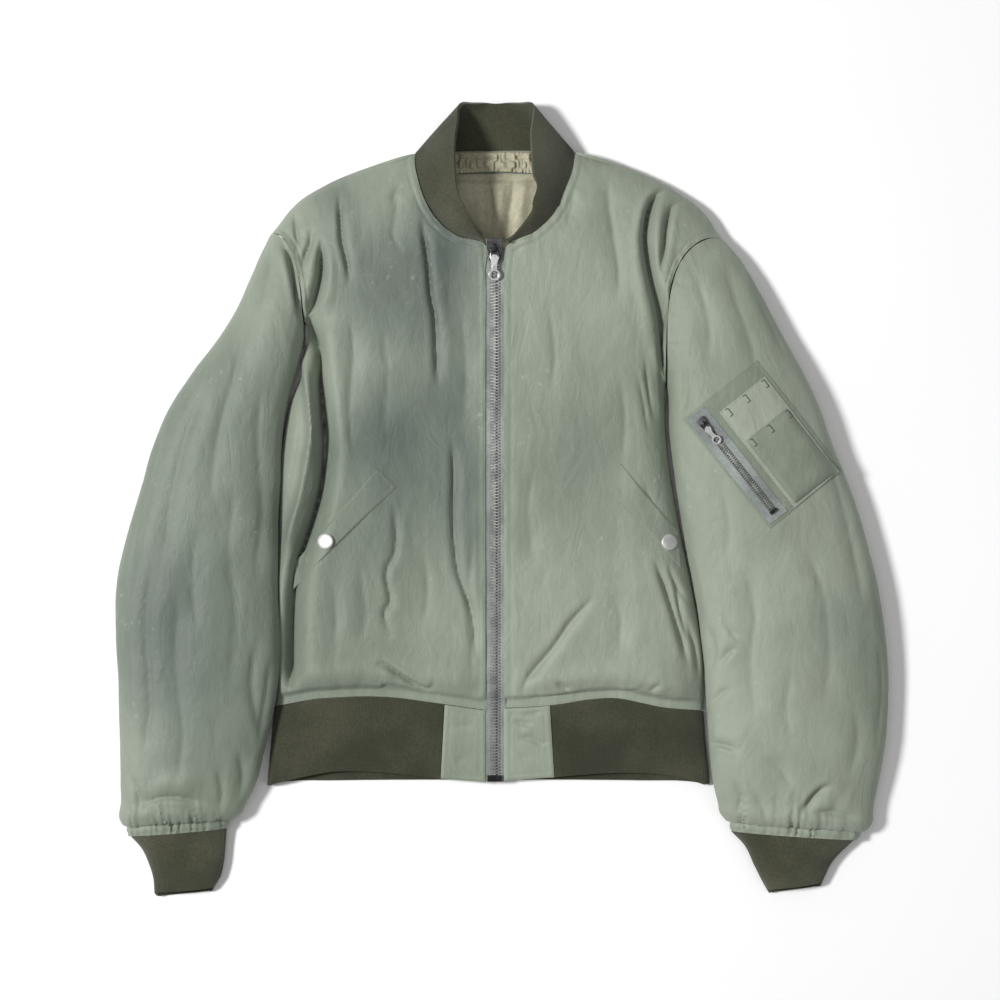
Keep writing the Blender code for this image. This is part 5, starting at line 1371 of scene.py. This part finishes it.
def add_pull(name, node, hinge, scale, body, finish, head_finish):
    """A zip pull with rounded edges: a cross bar, two legs, a flared head and a ring in brighter metal."""
    pivot, axis = Vector(hinge["pos_m"]), Vector(hinge["axis"]).normalized()
    corners = [vertex.co for vertex in frame["nodes"][node].data.vertices]
    reach = max(corners, key=lambda corner: (corner - pivot).length) - pivot
    across = -axis
    along = -(reach - reach.dot(across) * across).normalized()
    other_half = [(-x, y) for x, y in reversed(PULL_HALF)]
    outline = PULL_HALF + arc(RING_Y, RING_OUTER, 58, -238, 44) + other_half
    curve = bpy.data.curves.new(name, "CURVE")
    bevel = 0.42 * scale
    curve.dimensions, curve.fill_mode = "2D", "BOTH"
    curve.extrude = (PULL_THICK * scale / 2 - bevel) * MM
    curve.bevel_depth, curve.bevel_resolution = bevel * MM, 2
    curve.offset = -bevel * MM
    for line in (outline, PULL_WINDOW, arc(RING_Y, RING_HOLE, 0, 350, 36)):
        spline_of = curve.splines.new("POLY")
        spline_of.points.add(len(line) - 1)
        for point, (x, y) in zip(spline_of.points, line):
            point.co = (x * scale * MM, y * scale * MM, 0, 1)
        spline_of.use_cyclic_u = True
    holder = bpy.data.objects.new(name + "_outline", curve)
    mesh = bpy.data.meshes.new_from_object(holder)
    bpy.data.objects.remove(holder)
    upwards = across.cross(along)
    mesh.transform(Matrix((across, along, upwards)).transposed().to_4x4())
    mesh.transform(Matrix.Translation(pivot))
    mesh.name = name
    mesh.materials.clear()
    mesh.materials.append(finish)
    mesh.materials.append(head_finish)
    for face in mesh.polygons:
        face.material_index = int(-(face.center - pivot).dot(along) > PULL_HEAD * scale * MM)
    mesh.shade_smooth()
    mesh.set_sharp_from_angle(angle=math.radians(35))
    made = bpy.data.objects.new(name, mesh)
    bpy.context.scene.collection.objects.link(made)
    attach(made, body)
    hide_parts(node)
    return made


def build_hem_panels(made, grids, nylon):
    """Nylon end panels of the waistband, topstitched inside their edges."""
    panels = {}
    for side, placket, edge, hem, seed in (
        ("right", PLACKET_X_RIGHT, FRONT_EDGE_RIGHT, HEM_RIGHT, 600),
        ("left", PLACKET_X_LEFT, FRONT_EDGE_LEFT, HEM_LEFT, 610),
    ):
        coarse = hem_panel_grids(grids[side], placket, edge, hem)[0]
        fine = refined(coarse, 1.7)
        plan = fine[..., :2].copy()
        gap = away(plan, border_of(coarse))[0]
        rise = (puffiness(plan, seed, 0, 0.3) + folds(plan, FOLDS_HEM[side])) * smooth(gap, 1.0, 7.0) + 0.5
        rise -= 0.6 * np.exp(-(((gap - PANEL_INSET) / 1.0) ** 2)) + 1.0 * np.exp(-((gap / 1.1) ** 2))
        fine[..., 2] += rise
        panels[side] = coarse
        made["hem_panel_" + side] = fine
        piece = add_shell(f"hem_panel_{side}_shell", fine, 2.6, nylon)
        declare(piece, *CUTS["hem_panel"], ["waist_knit"], "hem_panel_" + side)
    return panels


def build_neck_lining(made, khaki):
    """The gathered facing and the lining that show inside the neck."""
    under = surface(made["back"] + (0, 0, SHELL))
    plan = quad_plan(FACING_CORNERS, 31, 141)
    across, down = plan[..., 0], np.linspace(0, 1, 31)[:, None]
    plan[..., 1] += down * (4.5 * (1 - ((across + 5) / 56) ** 2) - 1.5)
    gathers = np.abs(noise(np.stack([across, plan[..., 1] * 0.45], -1), 3.6, 700))
    crush = crinkle(np.stack([across, plan[..., 1]], -1), 6.5, 701)
    band = 1.6 * np.exp(-(((down - 0.12) / 0.1) ** 2)) - 1.8 * np.exp(-(((down - 0.3) / 0.07) ** 2))
    gathered = (4.6 * gathers + 0.9 * crush) * np.sin(np.pi * down * 0.86) ** 0.4
    rise = 2.4 + 4.8 * np.sin(np.pi * down * 0.72) + band + gathered
    grid = np.dstack([plan, dropped(under, plan) + rise])
    declare(add_shell("neck_facing_cloth", grid, 1.2, khaki), *CUTS["neck_facing"], ["back_shell"],
            "neck_facing", held="gathered")
    made["neck_facing"] = grid
    plan = quad_plan(LINING_CORNERS, 91, 75)
    rise = 2.0 + 0.9 * noise(plan, 40, 710, 2.5, 80) + 0.8 * crinkle(plan, 20, 711, 2.5, 75)
    rise += folds(plan, FOLDS_LINING) + 3.2 * smooth(322.0 - plan[..., 1], 0.0, 5.0) - 1.2
    grid = np.dstack([plan, dropped(under, plan) + np.maximum(rise, 0.6)])
    declare(add_shell("back_lining_cloth", grid, 1.0, khaki), *CUTS["back_lining"],
            ["back_shell"], "back_lining")


def build_main_zip(grids, panels, tape, silver, gunmetal):
    """Tapes, interlocked teeth, slider, pull and the box at the foot of the main zip."""
    line = zip_line(grids["right"], panels["right"])

    def at(along, across, up):
        return ZIP_X + across, along, float(np.interp(along, *line.T)) + up

    for side, edge in (("right", FRONT_EDGE_RIGHT - 1.5), ("left", FRONT_EDGE_LEFT + 1.5)):
        rows = np.arange(ZIP_FOOT_Y, ZIP_TOP_Y + 1, 2.0)
        across = np.linspace(edge - ZIP_X, 0.25 * np.sign(edge - ZIP_X), 13)
        ridges = 0.16 * np.cos(across * 2.6)
        grid = np.array([[at(y, x, TAPE_DROP + up) for x, up in zip(across, ridges)] for y in rows])
        piece = add_shell(f"zip_tape_{side}_cloth", grid[: len(grid) // 2 * 2 - 1], TAPE_PLY, tape)
        declare(piece, *CUTS["zip_tape"], ["front_right_shell", "front_left_shell"], "zip_tape_" + side)
    top = TAPE_DROP + REST + TEETH_PLY
    row = add_zip_row("zip_teeth_rows", lambda a, x, z: at(a, x, top + z), ZIP_FOOT_Y + 7, TEETH_TOP_Y + 3,
                      TEETH_PITCH, TEETH_WIDE, TEETH_PLY, silver)
    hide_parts("zip_teeth")
    rounded_copy("zip_box_rounded", "zip_box", 0.5, gunmetal)
    rounded_copy("zip_slider_rounded", "zip_slider", 0.55, gunmetal)
    add_pull("zip_pull_rounded", "zip_pull", frame["joints"][0], 1.0, "main_pull", gunmetal, silver)


def build_welts(made, nylon, silver):
    """Slanted pocket welts, each with a snap cap."""
    for side, corners, seed in (("right", WELT_RIGHT, 800), ("left", WELT_LEFT, 810)):
        carrier = surface(made["front_" + side])
        plan = quad_plan(corners, 61, 15)
        grid, piece = laid_piece(f"pocket_welt_{side}_shell", carrier, plan, 0.5, 1.9, nylon, seed, 0.18, 1.6)
        declare(piece, *CUTS["welt"], [f"front_{side}_shell"], "pocket_welt_" + side)
        made["welt_" + side] = grid
        top = surface(grid)
        node = frame["nodes"]["snap_cap_" + side]
        corner = np.array([vertex.co for vertex in node.data.vertices]) / MM
        low = corner[:, 2].min()
        middle = (corner.max(axis=0) + corner.min(axis=0)) / 2
        turn = np.linspace(0, 2 * math.pi, SNAP_SIDES + 1)[:-1]
        rest = over(top, middle[0], middle[1], low) - 0.3
        tilt = []
        for dx, dy in ((8, 0), (0, 8)):
            ahead = over(top, middle[0] + dx, middle[1] + dy, rest)
            tilt.append((ahead - over(top, middle[0] - dx, middle[1] - dy, rest)) / 16)
        points = []
        for radius, height in SNAP_CURVE:
            for t in turn:
                x, y = middle[0] + radius * math.cos(t), middle[1] + radius * math.sin(t)
                points.append((x, y, rest + height + (x - middle[0]) * tilt[0] + (y - middle[1]) * tilt[1]))
        faces = [tuple(range(SNAP_SIDES))[::-1], tuple(range(len(points) - SNAP_SIDES, len(points)))]
        for base in range(0, len(points) - SNAP_SIDES, SNAP_SIDES):
            for i in range(SNAP_SIDES):
                k = (i + 1) % SNAP_SIDES
                faces.append((base + i, base + k, base + SNAP_SIDES + k, base + SNAP_SIDES + i))
        cap = new_object(f"snap_cap_{side}_domed", points, faces, silver)
        cap.data.set_sharp_from_angle(angle=math.radians(50))
        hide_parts("snap_cap_" + side)


def build_sleeve_pocket(made, nylon, pale, tape, silver, gunmetal, dark_thread):
    """The left sleeve's patch pocket: patch, two pen layers, zip, slider and pull."""
    carrier = surface(made["sleeve_left"], wrap=True)
    patch_plan = pocket_plan((0, POCKET_LENGTH), (0, POCKET_WIDTH), 71, 49)
    patch, piece = laid_piece("pocket_patch_shell", carrier, patch_plan, 0.7, 2.0, nylon, 900, 0.3, 1.0)
    declare(piece, *CUTS["patch"], ["sleeve_left_shell"], "pocket_patch")
    made["patch"] = patch
    on_patch = surface(patch)
    back_plan = pocket_plan(*PEN_BACK_SPANS, 61, 31)
    back, piece = laid_piece("pen_pocket_back_shell", on_patch, back_plan, 0.6, 1.6, pale, 910, 0.35, 0.8)
    declare(piece, *CUTS["pen_back"], ["pocket_patch_shell"], "pen_pocket_back")
    front_plan = pocket_plan(*PEN_FRONT_SPANS, 43, 31)
    front, piece = laid_piece("pen_pocket_front_shell", surface(back), front_plan, 0.6, 2.6, nylon, 920,
                              0.5, 0.8)
    declare(piece, *CUTS["pen_front"], ["pen_pocket_back_shell"], "pen_pocket_front")
    made["pen_back"], made["pen_front"] = back, front
    tape_plan = pocket_plan((3, 135), (POCKET_ZIP_ACROSS - 11, POCKET_ZIP_ACROSS + 11), 65, 23)
    height = dropped(on_patch, tape_plan) + 0.7
    ridges = 0.14 * np.cos(np.linspace(-11, 11, 23) * 2.6)[None]
    strip_grid = np.dstack([tape_plan, height + ridges])
    piece = add_shell("pocket_zip_tape_cloth", strip_grid, 0.6, tape)
    on_tape = surface(strip_grid)
    cord_plan = pocket_plan((28, 126), (POCKET_ZIP_ACROSS - 3.4, POCKET_ZIP_ACROSS + 3.4), 49, 5)
    cord_rise = 0.3 + 0.35 * np.abs(np.linspace(-1, 1, 5))[None]
    cord_grid = np.dstack([cord_plan, dropped(on_tape, cord_plan) + cord_rise])
    cord = add_shell("pocket_zip_cords", cord_grid, 0.5, dark_thread)
    declare(piece, *CUTS["pocket_tape"], ["pocket_patch_shell"], "pocket_zip_tape", with_pieces=[cord])
    corner, along, across = (np.array(v) for v in (POCKET_CORNER, POCKET_ALONG, POCKET_ACROSS))

    def at(a, x, z):
        px, py = corner + a * along + (POCKET_ZIP_ACROSS + x) * across
        return px, py, over(on_tape, px, py, 45.0) + POCKET_TEETH_RISE + z

    row = add_zip_row("pocket_zip_teeth_rows", at, 30, 124, 2.4, 6.4, 1.9, silver)
    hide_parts("pocket_zip_teeth")
    rounded_copy("pocket_zip_stop_rounded", "pocket_zip_stop", 0.3, gunmetal)
    rounded_copy("pocket_zip_slider_rounded", "pocket_zip_slider", 0.4, gunmetal)
    add_pull("pocket_zip_pull_rounded", "pocket_zip_pull", frame["joints"][1], SMALL_PULL, "pocket_pull",
             gunmetal, silver)


def build_stitching(made, seams, panels, thread, dark_thread, pale_thread):
    """Topstitching along the seams, welts, hem panels and sleeve pocket."""
    fronts = {side: surface(made["front_" + side]) for side in ("right", "left")}
    parts = []
    for side in ("right", "left"):
        seam = seams["front_" + side]
        for line, inset in ((seam["neck"], NECK_MARGIN), (seam["neck"], 1.8), (seam["opening"], EDGE_MARGIN),
                            (seam["waist"], WAIST_MARGIN - 1.5), (seam["waist"], 1.5),
                            (seam["arm"], ARM_MARGIN)):
            for sign in (1, -1):
                parts.append(stitch_shapes(fronts[side], offset_line(line, sign * inset)))
    add_joined("seam_stitches", parts, thread)
    parts = []
    for side in ("right", "left"):
        corners = np.array(WELT_RIGHT if side == "right" else WELT_LEFT, float)
        a, b, c, d = corners[0], corners[1], corners[2], corners[3]
        middle = (a + b + c + d) / 4
        ring = [corner + (middle - corner) * 0.045 for corner in (a, b, d, c, a)]
        parts.append(stitch_shapes(surface(made["welt_" + side]), ring, pitch=2.6, length=1.9))
        frame_line = border_of(panels[side])[:, :2]
        centre = frame_line.mean(axis=0)
        half = np.abs(frame_line - centre).max(axis=0)
        inner = centre + (frame_line - centre) * (1 - PANEL_INSET / half)
        parts.append(stitch_shapes(surface(made["hem_panel_" + side]), inner))
    add_joined("panel_stitches", parts, thread)
    corner, along, across = (np.array(v) for v in (POCKET_CORNER, POCKET_ALONG, POCKET_ACROSS))

    def box(a0, a1, b0, b1):
        return [corner + a * along + b * across
                for a, b in ((a0, b0), (a0, b1), (a1, b1), (a1, b0), (a0, b0))]

    parts = [
        stitch_shapes(surface(made["patch"]), box(2, 136, 2, 92)),
        stitch_shapes(surface(made["pen_back"]), box(18.5, 135.5, 33.5, 88.5)),
        stitch_shapes(surface(made["pen_front"]), box(56.5, 136.5, 33, 89.5)),
    ]
    add_joined("pocket_stitches", parts, thread)
    parts = []
    for name, start in (("pen_back", 19.0), ("pen_front", 57.0)):
        top = surface(made[name])
        for place in TACKS_ACROSS:
            tack = [(start, place), (start, place + 3.2), (start + 8.0, place + 3.2), (start + 8.0, place)]
            for shift in (-0.25, 0.25):
                line = [corner + (a + shift) * along + (b + shift) * across for a, b in tack]
                parts.append(stitch_shapes(top, line, pitch=1.2, length=1.5, half=0.34))
    add_joined("bar_tacks", parts, dark_thread)
    parts = []
    facing = surface(made["neck_facing"])
    for step in range(34):
        x = ZIGZAG_STEP * step - 38.0
        foot = (x + ZIGZAG_STEP / 2, ZIGZAG_FOOT)
        for line in ([(x, ZIGZAG_TOP), foot], [foot, (x + ZIGZAG_STEP, ZIGZAG_TOP)]):
            parts.append(stitch_shapes(facing, line, pitch=3.0, length=3.0, half=0.3, lift=0.3))
    add_joined("facing_zigzag", parts, pale_thread)


def main():
    """Makes the finishes and builds every piece."""
    nylon = nylon_material("sage_nylon", SAGE, SAGE_PALE)
    pocket_nylon = nylon_material("pocket_nylon", SAGE_POCKET, SAGE_POCKET_PALE, blotches=False)
    pen_nylon = nylon_material("pen_nylon", SAGE_PEN, SAGE_PEN_PALE, blotches=False)
    rib, band_rib = rib_material("olive_rib"), rib_material("olive_rib_band", 0.8)
    khaki = cloth_material("khaki_lining", KHAKI_LOW, KHAKI_HIGH, 0.6, 500.0)
    tape = cloth_material("grey_tape", TAPE_LOW, TAPE_HIGH, 0.85, 700.0)
    silver = metal_material("worn_silver", (0.68, 0.68, 0.66), (0.42, 0.42, 0.41), 0.3, 0.85)
    pearl = metal_material("matt_silver", (0.78, 0.78, 0.76), (0.6, 0.6, 0.585), 0.45, 0.6)
    gunmetal = metal_material("dark_metal", (0.07, 0.07, 0.071), (0.03, 0.03, 0.031), 0.28, 1.0)
    thread = thread_material("sage_thread", THREAD_LOW, THREAD_HIGH)
    dark_thread = thread_material("dark_thread", DARK_THREAD_LOW, DARK_THREAD_HIGH)
    build_stage()
    made, seams, grids = build_body(nylon, rib, band_rib)
    panels = build_hem_panels(made, grids, nylon)
    build_neck_lining(made, khaki)
    build_main_zip(grids, panels, tape, silver, gunmetal)
    build_welts(made, nylon, pearl)
    build_sleeve_pocket(made, pocket_nylon, pen_nylon, tape, silver, gunmetal, dark_thread)
    build_stitching(made, seams, panels, thread, dark_thread,
                    thread_material("khaki_thread", KHAKI_HIGH, PALE_THREAD))


main()
